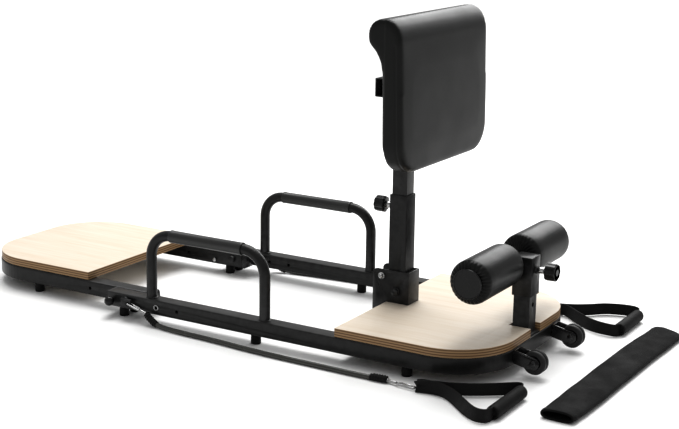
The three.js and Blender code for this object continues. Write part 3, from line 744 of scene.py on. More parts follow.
def arc(centre: Place, radius: float, start: float, end: float, plane: str, steps: int = 14) -> list[Place]:
    """Places along an arc in millimetres.

    Args:
        centre: its centre.
        radius: its radius.
        start: its first angle in degrees.
        end: its last angle in degrees.
        plane: "XY" for a bend lying flat, "XZ" for one standing along the machine.
        steps: how many spans.

    Returns:
        The places, both ends included.
    """
    x, y, z = centre
    places = []
    for step in range(steps + 1):
        angle = math.radians(start + (end - start) * step / steps)
        a, b = radius * math.cos(angle), radius * math.sin(angle)
        places.append((x + a, y + b, z) if plane == "XY" else (x + a, y, z + b))
    return places


def smooth_route(points: Sequence[Vector], spans: int = 4) -> list[Vector]:
    """A smooth path through points, with more places between them."""
    padded = [points[0] * 2 - points[1], *points, points[-1] * 2 - points[-2]]
    path = []
    for a, b, c, d in zip(padded, padded[1:], padded[2:], padded[3:]):
        slope, bow, twist = c - a, a * 2 - b * 5 + c * 4 - d, b * 3 - a - c * 3 + d
        for step in range(spans):
            t = step / spans
            path.append(0.5 * (b * 2 + slope * t + bow * t * t + twist * t ** 3))
    return [*path, points[-1]]


def eased_copy(
    node: str, finish: Finish, width: float = 0.7, long_edges: float = 0.0, segments: int = 2,
) -> Piece:
    """A copy of a plain node with rounded edges, which stands for it.

    Args:
        node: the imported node.
        finish: what it wears.
        width: the rounding of every other edge, in millimetres.
        long_edges: the rounding of long outer edges, in millimetres; none when it is 0.
        segments: steps of the fine rounding.

    Returns:
        The piece.
    """
    bm = bmesh.new()
    bm.from_mesh(frame["nodes"][node].data)
    bmesh.ops.remove_doubles(bm, verts=bm.verts, dist=1e-5)
    bmesh.ops.dissolve_limit(bm, angle_limit=math.radians(1.0), verts=bm.verts, edges=bm.edges)
    if long_edges:
        bm.normal_update()
        low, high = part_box(node)
        chosen = [edge for edge in bm.edges if is_long_corner(edge, low, high)]
        round_off(bm, chosen, long_edges, 4, "EDGES")
    piece = to_piece(f"{node}_eased", bm, finish)
    ease_edges(piece, width, segments, 50.0)
    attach(piece, frame["nodes"][node]["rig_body"])
    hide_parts(node)
    return piece


def is_long_corner(edge: bmesh.types.BMEdge, low: Vector, high: Vector, least: float = 0.045) -> bool:
    """Tells whether an edge is a long, square, outward corner on the outside of its node's box."""
    if len(edge.link_faces) != 2 or edge.calc_length() < least or not edge.is_convex:
        return False
    if abs(edge.calc_face_angle(0.0) - math.pi / 2) > 0.1:
        return False
    middle = (edge.verts[0].co + edge.verts[1].co) / 2
    touching = sum(min(middle[k] - low[k], high[k] - middle[k]) < 0.0005 for k in range(3))
    return touching >= 2


def stand_for(piece: Piece, body: str, slot: str, *nodes: str) -> Piece:
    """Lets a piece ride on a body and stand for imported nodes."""
    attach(piece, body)
    if nodes:
        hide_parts(*nodes)
    LOG.info("%s: rides on %s, stands for %s", piece.name, body, ", ".join(nodes) or "nothing")
    return piece


# ---- studio --------------------------------------------------------------------------------------
@dataclass
class Studio:
    """The camera, a pale floor, and soft light from the upper left and behind."""

    camera_place: Place = (1616.5, -2828.1, 1072.4)
    azimuth: float = 30.71
    elevation: float = 13.83
    roll: float = 0.79
    lens: float = 76.62
    floor_half: float = 30000.0
    world_strength: float = 0.62
    key_from: Place = (-450.0, 750.0, 2100.0)
    key_strength: float = 2.3
    key_softness: float = 36.0
    contrast_gamma: float = 0.8
    box_from: Place = (-50.0, 2700.0, 1900.0)
    box_to: Place = (100.0, 0.0, 400.0)
    box_size: float = 1900.0
    box_power: float = 55.0

    def build_camera(self) -> None:
        """Makes the camera and sets it."""
        a, e, r = (math.radians(angle) for angle in (self.azimuth, self.elevation, self.roll))
        back = Vector((math.sin(a) * math.cos(e), -math.cos(a) * math.cos(e), math.sin(e)))
        right = (-back).cross(UP).normalized()
        above = right.cross(-back).normalized()
        tilted_right = right * math.cos(r) + above * math.sin(r)
        tilted_up = above * math.cos(r) - right * math.sin(r)
        data = bpy.data.cameras.new("studio_camera")
        data.lens = self.lens
        data.sensor_width = 36.0
        data.clip_end = 100.0
        camera = bpy.data.objects.new("studio_camera", data)
        matrix = Matrix((tilted_right, tilted_up, back)).transposed().to_4x4()
        matrix.translation = MACHINE.at(*self.camera_place)
        camera.matrix_world = matrix
        bpy.context.scene.collection.objects.link(camera)
        bpy.context.scene.camera = camera

    def build_floor(self) -> None:
        """Makes the floor."""
        bm = bmesh.new()
        bmesh.ops.create_grid(bm, x_segments=8, y_segments=8, size=self.floor_half * MM)
        paint = Finish(
            "studio_floor", (0.9, 0.9, 0.895), roughness=0.85, roughness_spread=0.03, shade_spread=0.01,
            grain_scale=200, grain_height=0.0001, grain_strength=0.1, specular=0.1,
        )
        to_piece("studio_floor", bm, paint)

    def build_light(self) -> None:
        """Makes the world's light, the wide key light and the soft box behind."""
        world = bpy.data.worlds.new("studio_world")
        world.use_nodes = True
        sky = world.node_tree.nodes["Background"]
        sky.inputs["Color"].default_value = (1.0, 1.0, 1.0, 1.0)
        sky.inputs["Strength"].default_value = self.world_strength
        bpy.context.scene.world = world
        sun = bpy.data.lights.new("key_light", "SUN")
        sun.energy = self.key_strength
        sun.angle = math.radians(self.key_softness)
        self.hang(sun, Vector(), -Vector(self.key_from))
        box = bpy.data.lights.new("softbox_back", "AREA")
        box.shape = "RECTANGLE"
        box.size = box.size_y = self.box_size * MM
        box.energy = self.box_power
        start = MACHINE.at(*self.box_from)
        self.hang(box, start, MACHINE.at(*self.box_to) - start)

    @staticmethod
    def hang(light: bpy.types.Light, place: Vector, towards: Vector) -> None:
        """Puts a light in its place, shining in a direction."""
        lamp = bpy.data.objects.new(light.name, light)
        lamp.location = place
        lamp.rotation_euler = towards.to_track_quat("-Z", "Y").to_euler()
        bpy.context.scene.collection.objects.link(lamp)

    def set_contrast(self) -> None:
        """Sets how the picture's tones are drawn."""
        view = bpy.context.scene.view_settings
        view.view_transform = "Standard"
        view.gamma = self.contrast_gamma

    def build(self) -> None:
        """Makes the whole studio."""
        self.build_camera()
        self.build_floor()
        self.build_light()
        self.set_contrast()
        LOG.info("studio ready")


# ---- pull bands ----------------------------------------------------------------------------------
@dataclass
class SnapHook:
    """A plated snap hook: an oval wire link with a gate and a swivel eye."""

    wire: float = 2.1
    half_width: float = 6.8
    swivel_share: float = 0.3
    gate_share: float = 0.36
    bend_steps: int = 8

    def build(self, name: str, start: Vector, end: Vector, gate_side: float) -> Piece:
        """Makes a hook that lies between two places.

        Args:
            name: the piece's name.
            start: the end at the band.
            end: the end at the ring or bolt.
            gate_side: 1 or -1, the side of the link that the gate is on.

        Returns:
            The piece.
        """
        axis = (end - start).normalized()
        across = (ACROSS - axis * axis.y).normalized()
        length = (end - start).length / MM
        bend = self.half_width - self.wire
        swivel = self.swivel_share * length
        ring = []
        for centre, first in ((length - self.half_width, 90.0), (swivel + self.half_width, -90.0)):
            for step in range(self.bend_steps + 1):
                angle = math.radians(first - step * 180.0 / self.bend_steps)
                forward = axis * (centre + bend * math.cos(angle)) * MM
                ring.append(start + forward + across * bend * math.sin(angle) * MM)
        link = sweep(disc_section(self.wire, 14), place_frames([*ring, ring[0]]))
        stem = turned(rounded_profile(swivel + 2.0, 3.4, 1.2), start, axis, 20)
        eye = turned(rounded_profile(3.0, 5.0, 1.0), start, axis, 24)
        gate_start = start + axis * (swivel + 10.0) * MM + across * gate_side * bend * MM
        gate = turned(rounded_profile(self.gate_share * length, 2.5, 0.8), gate_start, axis, 18)
        knob = turned(rounded_profile(3.2, 1.5, 0.6), gate_start + axis * 4.0 * MM, across * gate_side, 14)
        whole = bmesh.new()
        for part in (link, stem, eye, gate, knob):
            merge_into(whole, part)
        return to_piece(name, whole, LINE.chrome)


def merge_into(whole: Mesh, part: Mesh) -> None:
    """Adds one mesh to another and frees it."""
    mesh = bpy.data.meshes.new("part")
    bmesh.ops.recalc_face_normals(part, faces=part.faces)
    part.to_mesh(mesh)
    part.free()
    whole.from_mesh(mesh)
    bpy.data.meshes.remove(mesh)


@dataclass
class PullBand:
    """One elastic tube with its end sleeves, hooks, webbing strap and hand grip.

    The strands are (x, y, z, lean) rows, with the lean of the webbing from upright in degrees.
    """

    side: Side
    route: tuple[Place, ...]
    ring: Place
    strands: tuple[tuple[Strand, ...], ...]
    grip: tuple[Place, Place]
    tube_radius: float = 5.5
    length: float = 700.0
    sleeve_length: float = 42.0
    sleeve_swell: float = 1.42
    sleeve_ribs: float = 6.5
    rib_depth: float = 0.1
    sleeve_lip: float = 1.1
    webbing_width: float = 29.0
    webbing_thick: float = 2.4
    strap_spans: int = 5

    @property
    def body(self) -> str:
        """The handle's body."""
        return f"pull_handle_{self.side.label}"

    def build_tube(self) -> None:
        label = self.side.label
        points = MACHINE.route(self.route)
        path = smooth_route(points, 3)
        bare = sweep(disc_section(self.tube_radius, 20), place_frames(path))
        tube = to_piece(f"elastic_band_{label}", bare, LINE.latex)
        start_sleeve = self.end_sleeve(f"band_end_sleeve_{label}", path)
        grip_sleeve = self.end_sleeve(f"handle_end_sleeve_{label}", path[::-1])
        stand_for(start_sleeve, "main_frame", "rubber")
        stand_for(grip_sleeve, self.body, "rubber")
        hook = self.bolt_hook()
        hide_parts(f"band_{label}")
        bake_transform(tube)

    def end_sleeve(self, name: str, path: Sequence[Vector]) -> Piece:
        """Makes the ribbed sleeve over one end of the tube.

        Args:
            name: the piece's name.
            path: the tube's path, from the end that the sleeve is on.

        Returns:
            The piece.
        """
        dense = smooth_route(path[:9], 6)
        full = self.sleeve_length * MM
        covered = []
        travelled = 0.0
        for before, after in zip(dense, dense[1:]):
            if travelled > full:
                break
            covered.append((before, travelled / full))
            travelled += (after - before).length
        frames = place_frames([spot for spot, _ in covered])
        scaled = []
        for matrix, (_, share) in zip(frames, covered):
            rib = self.rib_depth * math.cos(share * math.tau * self.sleeve_ribs)
            taper = 0.22 * max(0.0, share - 0.75) * 4
            swell = self.sleeve_swell + rib - taper if share else self.sleeve_lip
            clear = self.tube_radius * swell * MM + LOWEST
            matrix.translation.z = max(matrix.translation.z, clear)
            scaled.append(matrix @ Matrix.Diagonal((swell, swell, 1.0, 1.0)))
        return to_piece(name, sweep(disc_section(self.tube_radius, 24), scaled), LINE.rubber, 60.0)

    def bolt_hook(self) -> Piece:
        """Makes the hook at the fold bolt."""
        label, outward = self.side.label, self.side.value
        eye = MACHINE.at(-488.0, outward * 267.0, 43.0)
        start = MACHINE.at(*self.route[0])
        hook = SnapHook().build(f"bolt_snap_hook_{label}", start, eye, -outward)
        return stand_for(hook, "main_frame", "chrome", f"band_hook_{label}")

    def strap_hook(self) -> None:
        """Makes the hook at the strap."""
        label, last = self.side.label, MACHINE.at(*self.route[-1])
        ring = MACHINE.at(*self.ring)
        hook = SnapHook().build(f"strap_snap_hook_{label}", last, ring, -self.side.value)
        stand_for(hook, self.body, "chrome", f"handle_hook_{label}")

    def build_strap(self) -> None:
        """Makes the two strands of webbing that hold the grip."""
        label = self.side.label
        whole = bmesh.new()
        for strand in self.strands:
            points = smooth_route([MACHINE.at(x, y, z) for x, y, z, _ in strand], self.strap_spans)
            leans = [lean for *_, lean in strand for _ in range(self.strap_spans)][: len(points) - 1]
            leans = soften([*leans, strand[-1][3]])
            ups = []
            for index, point in enumerate(points):
                ahead = points[min(index + 1, len(points) - 1)] - points[max(index - 1, 0)]
                outward = UP.cross(ahead).normalized()
                lean = math.radians(leans[index])
                ups.append(UP * math.cos(lean) + outward * math.sin(lean))
            section = box_section(self.webbing_thick, self.webbing_width, 0.9, 3)
            merge_into(whole, sweep(section, place_frames(points, ups)))
        strap = to_piece(f"webbing_strap_{label}", whole, LINE.webbing, 50.0)
        strap_uv(strap, self.webbing_width * MM)
        stand_for(strap, self.body, "webbing", f"handle_strap_{label}")

    def build_grip(self) -> None:
        """Makes the foam hand grip, open at its ends."""
        label = self.side.label
        start, end = (MACHINE.at(*place) for place in self.grip)
        axis = end - start
        length = axis.length / MM
        lip = [
            (3.0, 0.0), (3.0, 8.0), (0.6, 9.2), (0.0, 10.6), (0.0, 12.6), (0.7, 14.0), (2.4, 14.5),
            (8.0, 14.7),
        ]
        profile = both_ends(lip, length, [(length / 2, 14.4)])
        foam = turned(profile, start, axis.normalized(), 48)
        grip = to_piece(f"hand_grip_foam_{label}", foam, LINE.hand_foam, 50.0)
        stand_for(grip, self.body, "foam", f"hand_grip_{label}")

    def build(self) -> None:
        """Makes the whole band with its handle."""
        self.build_tube()
        self.strap_hook()
        self.build_strap()
        self.build_grip()
        LOG.info("pull band %s ready", self.side.label)


def soften(values: Sequence[float], passes: int = 6) -> list[float]:
    """Evens out a row of numbers."""
    row = list(values)
    for _ in range(passes):
        row = [
            (row[max(k - 1, 0)] + row[k] + row[min(k + 1, len(row) - 1)]) / 3 for k in range(len(row))
        ]
    return row


def strap_uv(strap: Piece, width: float) -> None:
    """Writes a UV map along a strap: its length and its height, both in strap widths."""
    mesh = strap.data
    along = mesh.attributes["along"].data
    layer = mesh.uv_layers.new(name="webbing")
    for loop in mesh.loops:
        vert = mesh.vertices[loop.vertex_index]
        layer.data[loop.index].uv = (along[loop.vertex_index].value / width, vert.co.z / width)


BANDS = (
    PullBand(
        side=Side.NEAR,
        route=(
            (-427, -271, 27), (-413, -273, 17), (-396, -276, 9), (-372, -280, 6.3), (-345, -283.5, 6),
            (-316, -286, 6), (-288, -287.5, 6), (-260, -288.5, 6), (-232, -290, 6), (-204, -292, 6),
            (-176, -294.5, 6), (-148, -297, 6), (-120, -299.2, 6), (-92, -301, 6), (-64, -302.3, 6),
            (-36, -303.2, 6), (-8, -303.8, 6), (20, -304.2, 6), (48, -304.5, 6), (76, -304.8, 6),
            (104, -305.2, 6), (132, -305.6, 6), (160, -305.9, 6), (188, -305.8, 6), (216, -305, 6),
            (240, -303.5, 6.5),
        ),
        ring=(311, -310.5, 6),
        strands=(
            ((313, -311.5, 12, 35), (328, -311.5, 14.5, 10), (352, -312, 16, 0), (378, -317, 16, 8),
             (408, -334, 15.5, 18), (440, -362, 15.5, 20), (470, -388, 16, 12), (492, -400, 16, 4),
             (508, -397, 15.5, 0), (514, -384, 15, 0), (514.5, -368, 15, 0)),
            ((313, -310.5, 12, -35), (328, -310.3, 14.5, -10), (352, -308.5, 16, 0), (386, -300, 16.5, -6),
             (425, -278, 16, -8), (464, -251, 16, -6), (492, -228, 16, 0), (506, -219.5, 15.5, 0),
             (514, -224, 15, 0), (514.5, -238, 15, 0)),
        ),
        grip=((514.5, -373, 15), (514.5, -232, 15)),
        length=689.0,
    ),
    PullBand(
        side=Side.FAR,
        route=(
            (-427, 271, 27), (-413, 273, 17), (-396, 276, 9), (-372, 280, 6.3), (-345, 284, 6),
            (-316, 287.5, 6), (-288, 290.5, 6), (-260, 293, 6), (-232, 295.2, 6), (-204, 297.2, 6),
            (-176, 299, 6), (-148, 300.6, 6), (-120, 302.2, 6), (-92, 303.7, 6), (-64, 305.2, 6),
            (-36, 306.8, 6), (-8, 308.4, 6), (20, 310.2, 6), (48, 312.2, 6), (76, 314.4, 6),
            (104, 316.8, 6), (132, 319.4, 6), (160, 322, 6), (188, 324.8, 6), (216, 327.8, 6),
            (244, 331, 6), (270, 334, 6.5),
        ),
        ring=(343, 337.5, 6),
        strands=(
            ((345, 337.5, 12, 35), (360, 338.3, 14.5, 10), (375, 339.5, 16, 0), (402, 353, 16, 0),
             (428, 373, 16, -4), (455, 399, 16, -8), (490, 414, 16, -6), (518, 416.5, 16, 0),
             (536, 410, 15.5, 0), (541, 398, 15, 0), (541, 388, 15, 0)),
            ((345, 336.5, 12, -35), (360, 336.8, 14.5, -10), (375, 336.5, 16, 0), (392, 326, 16, 8),
             (424, 298, 15.5, 16), (460, 270, 15.5, 14), (490, 255, 16, 6), (520, 249.5, 16, 0),
             (535, 252.5, 15.5, 0), (541, 262, 15, 0), (541, 272, 15, 0)),
        ),
        grip=((541, 264, 15), (541, 396, 15)),
        length=710.0,
    ),
)


# ---- steel frames --------------------------------------------------------------------------------
@dataclass
class RailFrame:
    """One U of square tube lying flat."""

    name: str
    body: str
    node: str
    open_x: float
    bow_x: float
    half: float
    bend: float
    holes_x: tuple[float, ...]
    tube: float = 38.0
    low: float = 24.0
    high: float = 60.0
    corner: float = 3.6
    hole_radius: float = 4.0
    hole_z: float = 42.0

    def build(self) -> None:
        """Makes the U with its spare holes."""
        middle = (self.low + self.high) / 2
        way = 1.0 if self.bow_x > self.open_x else -1.0
        lane = self.half - self.tube / 2
        turn = self.bend - self.tube / 2
        bend_x = self.bow_x - way * self.bend
        bend_y = self.half - self.bend
        first = 0.0 if way > 0 else 180.0
        places = [(self.open_x, -lane, middle)]
        places += arc((bend_x, -bend_y, middle), turn, first - way * 90, first, "XY", 20)
        places += arc((bend_x, bend_y, middle), turn, first, first + way * 90, "XY", 20)
        places.append((self.open_x, lane, middle))
        section = box_section(self.tube, self.high - self.low, self.corner)
        piece = to_piece(self.name, sweep(section, place_frames(MACHINE.route(places))), LINE.powder)
        cutters = []
        for x in self.holes_x:
            for y in (-lane, lane):
                ends = [MACHINE.at(x, y + reach, self.hole_z) for reach in (-self.tube, self.tube)]
                cutters.append(drill(*ends, self.hole_radius))
        carve(piece, cutters)
        ease_edges(piece, 0.4, 2, 60.0)
        stand_for(piece, self.body, "steel", self.node)


@dataclass
class BaseHardware:
    """Feet, plugs, bolts, plungers and the plated nut of the two frames."""

    foot_radius: float = 11.8
    foot_height: float = 23.7
    main_feet: int = 3
    foot_frame_feet: int = 2
    plunger: Place = (-538.0, 272.0, 40.0)
    plunger_start: float = 224.0
    ball: float = 11.5
    hole_z: float = 42.0
    pin_end: Place = (-552.0, 182.4, 36.0)

    def rubber_foot(self, node: str, body: str) -> None:
        """Makes one foot over its node."""
        low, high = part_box(node)
        middle = Vector(((low.x + high.x) / 2, (low.y + high.y) / 2, 0.0))
        r, h = self.foot_radius, self.foot_height
        profile = [
            (0.0, 0.0), (0.0, r - 2.2), (0.5, r - 0.9), (1.8, r), (h - 7.0, r - 0.3), (h - 5.5, r - 0.7),
            (h - 4.5, r - 0.7), (h - 4.0, r - 0.3), (h, r - 0.4), (h, 0.0),
        ]
        foot = to_piece(f"{node}_rubber", turned(profile, middle, UP, 32), LINE.rubber)
        stand_for(foot, body, "rubber", node)

    def build_feet(self) -> None:
        """Makes every foot."""
        for side in Side:
            for index in range(self.main_feet):
                self.rubber_foot(f"main_foot_{side.label}_{index + 1}", "main_frame")
            for index in range(self.foot_frame_feet):
                self.rubber_foot(f"foot_frame_foot_{side.label}_{index + 1}", "foot_section")

    def build_plungers(self) -> None:
        """Makes the ball-ended plungers with their collars."""
        x, y, z = self.plunger
        for side in Side:
            start = MACHINE.at(x, side.value * self.plunger_start, z)
            reach = y - self.plunger_start
            profile = [(0.0, 0.0), (0.0, 4.6), (0.6, 5.0), (reach - 9.5, 5.0)]
            for step in range(13):
                angle = math.radians(-58.0 + step * 148.0 / 12)
                profile.append((reach + self.ball * math.sin(angle), self.ball * math.cos(angle)))
            profile[-1] = (reach + self.ball, 0.0)
            stem = turned(profile, start, side.outward, 40)
            ball = to_piece(f"ball_plunger_{side.label}", stem, LINE.plastic, 60.0)
            stand_for(ball, f"plunger_{side.label}", "plastic", f"fold_plunger_{side.label}")

    def build_plated_trim(self) -> None:
        """Makes the plated nut in the near rail, and the pin ends inside the foot rails."""
        profile = [
            (0.0, 4.1), (0.0, 6.8), (0.6, 7.4), (1.0, 7.4), (1.6, 6.8), (1.8, 5.6), (1.0, 4.3), (0.0, 4.1),
        ]
        nut = turned(profile, MACHINE.at(-407.0, -259.2, self.hole_z), Side.NEAR.outward, 32)
        stand_for(to_piece("plated_hole_nut_near", nut, LINE.chrome), "main_frame", "chrome")
        x, y, z = self.pin_end
        for side in Side:
            start = MACHINE.at(x, side.value * y, z)
            pin = turned(rounded_profile(8.0, 5.4, 1.4), start, -side.outward, 28)
            stand_for(to_piece(f"plated_pin_end_{side.label}", pin, LINE.chrome), "foot_section", "chrome")

    def build(self) -> None:
        """Makes all the hardware."""
        self.build_feet()
        self.build_plungers()
        self.build_plated_trim()
        for side in Side:
            eased_copy(f"fold_bolt_{side.label}", LINE.powder, 0.8)
            eased_copy(f"main_plug_{side.label}", LINE.plastic, 0.8)
            eased_copy(f"foot_plug_{side.label}", LINE.plastic, 1.0)
        eased_copy("board_crossmember", LINE.powder, 0.6)
        eased_copy("foot_crossmember", LINE.powder, 0.6)
        LOG.info("base hardware ready")


@dataclass
class PlyBoard:
    """A plywood board with two large round corners."""

    name: str
    body: str
    node: str
    left: float
    right: float
    half: float
    radius: float
    round_at_right: bool
    notch: tuple[float, float] | None = None
    low: float = 60.3
    thick: float = 20.0
    small_corner: float = 2.5

    def build(self) -> None:
        """Makes the board, its corners and its notch."""
        piece = to_piece(self.name, self.blank(), LINE.birch)
        if self.notch:
            carve(piece, [self.notch_cutter(*self.notch)])
        ease_edges(piece, 1.1, 3, 50.0)
        stand_for(piece, self.body, "plywood", self.node)

    def blank(self) -> Mesh:
        """Gives the board's mesh with its corners rounded."""
        bm = bmesh.new()
        bmesh.ops.create_grid(bm, x_segments=1, y_segments=1, size=0.5)
        centre = MACHINE.at((self.left + self.right) / 2, 0.0, self.low)
        bmesh.ops.scale(bm, vec=((self.right - self.left) * MM, 2 * self.half * MM, 1.0), verts=bm.verts)
        bmesh.ops.translate(bm, vec=centre, verts=bm.verts)
        large = (self.round_at_right, self.radius, 32)
        small = (not self.round_at_right, self.small_corner, 4)
        edge = self.half * MM * 0.98
        for at_right, radius, steps in (large, small):
            this_end = [vert for vert in bm.verts if (vert.co.x > centre.x) == at_right]
            corners = [vert for vert in this_end if abs(vert.co.y - centre.y) > edge]
            round_off(bm, corners[:2], radius, steps, "VERTICES")
        raised = bmesh.ops.extrude_face_region(bm, geom=bm.faces[:])["geom"]
        lifted = [part for part in raised if isinstance(part, bmesh.types.BMVert)]
        bmesh.ops.translate(bm, vec=(0.0, 0.0, self.thick * MM), verts=lifted)
        return bm

    @staticmethod
    def notch_cutter(start: float, half: float) -> Piece:
        """Makes the block that cuts the notch, from its inner end outwards."""
        reach, height = 120.0, 80.0
        cutter = bmesh.new()
        bmesh.ops.create_cube(cutter, size=1.0)
        bmesh.ops.scale(cutter, vec=(reach * MM, 2 * half * MM, height * MM), verts=cutter.verts)
        bmesh.ops.translate(cutter, vec=MACHINE.at(start + reach / 2, 0.0, 70.0), verts=cutter.verts)
        return to_piece("cutter", cutter, LINE.birch)


# ---- side handles --------------------------------------------------------------------------------
@dataclass
class SideHandle:
    """A bent round tube on a rail with a foam grip."""

    side: Side
    x0: float = -433.0
    x1: float = -113.0
    y: float = 240.0
    top: float = 216.5
    bend: float = 57.0
    radius: float = 12.5
    foot: float = 60.3

    def build(self) -> None:
        """Makes the tube, its weld beads and its grip."""
        label, y = self.side.label, self.side.value * self.y
        places = [(self.x0, y, self.foot)]
        places += arc((self.x0 + self.bend, y, self.top - self.bend), self.bend, 180.0, 90.0, "XZ", 12)
        places += arc((self.x1 - self.bend, y, self.top - self.bend), self.bend, 90.0, 0.0, "XZ", 12)
        places.append((self.x1, y, self.foot))
        bare = sweep(disc_section(self.radius, 32), place_frames(MACHINE.route(places), ACROSS))
        tube = to_piece(f"side_handle_tube_{label}", bare, LINE.powder)
        stand_for(tube, "main_frame", "steel", f"handle_tube_{label}")
        for end, x in (("front", self.x0), ("back", self.x1)):
            bead = [(0.0, 12.5), (0.0, 14.6), (0.7, 14.5), (1.5, 13.6), (2.2, 12.6), (0.0, 12.5)]
            ring = turned(bead, MACHINE.at(x, y, self.foot), UP, 40)
            weld = to_piece(f"side_handle_weld_{end}_{label}", ring, LINE.powder)
            stand_for(weld, "main_frame", "steel")
        start = self.x0 + self.bend + 2.0
        length = self.x1 - self.bend - 2.0 - start
        lip = [(0.6, 12.6), (0.0, 13.4), (0.2, 14.6), (1.4, 15.0), (4.0, 14.9), (6.0, 14.5)]
        profile = [*both_ends(lip, length, [(length / 2, 14.3)]), (length / 2, 12.55), lip[0]]
        foam = turned(profile, MACHINE.at(start, y, self.top), ALONG, 48)
        grip = to_piece(f"side_handle_foam_{label}", foam, LINE.foam, 50.0)
        stand_for(grip, "main_frame", "foam", f"handle_grip_{label}")
        LOG.info("side handle %s ready", label)


# ---- knobs ---------------------------------------------------------------------------------------
@dataclass
class FlutedKnob:
    """A fluted pull knob with a plated shank."""

    name: str
    body: str
    node: str
    face_x: float
    boss_x: float
    z: float
    radius: float
    length: float
    lobes: int = 8
    flute: float = 0.085

    def build(self) -> None:
        """Makes the head and the shank."""
        out = 1.0 if self.face_x > self.boss_x else -1.0
        section = disc_section(self.radius, self.lobes * 16)
        for vert in section.verts:
            angle = math.atan2(vert.co.y, vert.co.x)
            dip = (0.5 - 0.5 * math.cos(self.lobes * angle)) ** 1.6
            vert.co *= 1.0 - self.flute * dip
        end = self.length
        scales = (
            (0.0, 0.84), (0.6, 0.93), (2.0, 1.0), (end * 0.5, 0.99), (end - 2.4, 0.975),
            (end - 0.8, 0.93), (end, 0.86), (end, 0.8), (end - 0.8, 0.76), (end - 0.8, 0.6),
            (end - 0.1, 0.56), (end + 0.2, 0.02),
        )
        turn = Matrix(((0, 0, out), (1, 0, 0), (0, out, 0))).to_4x4()
        frames = []
        for place, scale in scales:
            matrix = Matrix.Translation(MACHINE.at(self.face_x + out * place, 0.0, self.z)) @ turn
            frames.append(matrix @ Matrix.Diagonal((scale, scale, 1.0, 1.0)))
        piece = to_piece(self.name, sweep(section, frames), LINE.plastic, 35.0)
        stand_for(piece, self.body, "plastic", self.node)
        start = MACHINE.at(self.boss_x, 0.0, self.z)
        gap = abs(self.face_x - self.boss_x)
        profile = [
            (-5.0, 0.0), (-5.0, 4.6), (0.3, 4.8), (0.4, 6.6), (1.2, 7.2), (gap * 0.55, 7.2),
            (gap * 0.62, 6.2), (gap * 0.7, 6.2), (gap * 0.78, 7.8), (gap + 0.5, 7.8), (gap + 0.5, 0.0),
        ]
        shank = to_piece(f"{self.name}_shank", turned(profile, start, ALONG * out, 32), LINE.chrome)
        stand_for(shank, self.body, "chrome")


# ---- back post and pad ---------------------------------------------------------------------------
@dataclass
class BackPost:
    """The folding post with its bracket, bolt, lock pin and crossbar."""

    bolt_x: float = 104.0
    bolt_z: float = 108.0
    bolt_face: float = 25.6
    pin: Place = (67.0, 25.3, 141.0)
    bar_bolt: Place = (122.6, 148.0, 602.0)

    def build(self) -> None:
        """Makes every steel piece of the post."""
        eased_copy("post_bracket", LINE.powder, 0.6)
        eased_copy("post_tube", LINE.powder, 0.5, 2.4)
        eased_copy("slider_tube", LINE.powder, 0.4, 2.2)
        eased_copy("pad_crossbar", LINE.powder, 0.5, 1.8)
        self.build_bolt()
        self.build_pin()
        FlutedKnob(
            "post_knob", "back_knob", "back_knob", face_x=61.0, boss_x=74.2, z=304.6, radius=19.0,
            length=24.8,
        ).build()
        x, y, z = self.bar_bolt
        dome = [(0.0, 0.0), (0.0, 8.0), (1.0, 8.0), (2.6, 6.4), (3.8, 3.6), (4.2, 0.0)]
        for side in Side:
            head = turned(dome, MACHINE.at(x, side.value * y, z), -ALONG, 28)
            stand_for(to_piece(f"crossbar_bolt_{side.label}", head, LINE.powder), "back_slider", "steel")
        LOG.info("back post ready")

    def build_bolt(self) -> None:
        """Makes the pivot bolt: a hexagon head and a nut, each on a washer."""
        washer = [(0.0, 0.0), (0.0, 10.6), (1.4, 10.6), (1.6, 10.2), (1.6, 0.0)]
        whole = bmesh.new()
        for side in Side:
            face = MACHINE.at(self.bolt_x, side.value * self.bolt_face, self.bolt_z)
            merge_into(whole, turned(washer, face, side.outward, 36))
            merge_into(whole, self.hexagon(face + side.outward * 4.2 * MM))
        shank = rounded_profile(51.0, 6.0, 0.2)
        merge_into(whole, turned(shank, MACHINE.at(self.bolt_x, -25.5, self.bolt_z), ACROSS, 28))
        bolt = to_piece("post_pivot_hex_bolt", whole, LINE.plastic, 30.0)
        stand_for(bolt, "main_frame", "steel", "post_pivot_bolt")

    @staticmethod
    def hexagon(centre: Vector, radius: float = 9.4, height: float = 5.4) -> Mesh:
        """A hexagon head across the machine, about a centre; its sizes are millimetres."""
        head = bmesh.new()
        bmesh.ops.create_cone(
            head, cap_ends=True, segments=6, radius1=radius * MM, radius2=radius * MM, depth=height * MM,
        )
        round_off(head, head.edges[:], 0.6, 2, "EDGES")
        turn = Matrix.Rotation(math.pi / 2, 3, "X")
        bmesh.ops.rotate(head, cent=(0, 0, 0), matrix=turn, verts=head.verts)
        bmesh.ops.translate(head, vec=centre, verts=head.verts)
        return head

    def build_pin(self) -> None:
        """Makes the plated lock pin with its ball button."""
        x, y, z = self.pin
        profile = [
            (-2.7, 0.0), (-2.7, 4.0), (0.3, 4.0), (0.3, 8.0), (1.3, 8.4), (2.2, 8.0), (2.3, 5.2), (6.6, 5.0),
            (8.0, 4.2), (8.7, 2.4), (8.9, 0.0),
        ]
        pin = turned(profile, MACHINE.at(x, -y, z), Side.NEAR.outward, 32)
        stand_for(to_piece("plated_lock_pin", pin, LINE.chrome), "lock_pin", "chrome", "post_lock_pin")


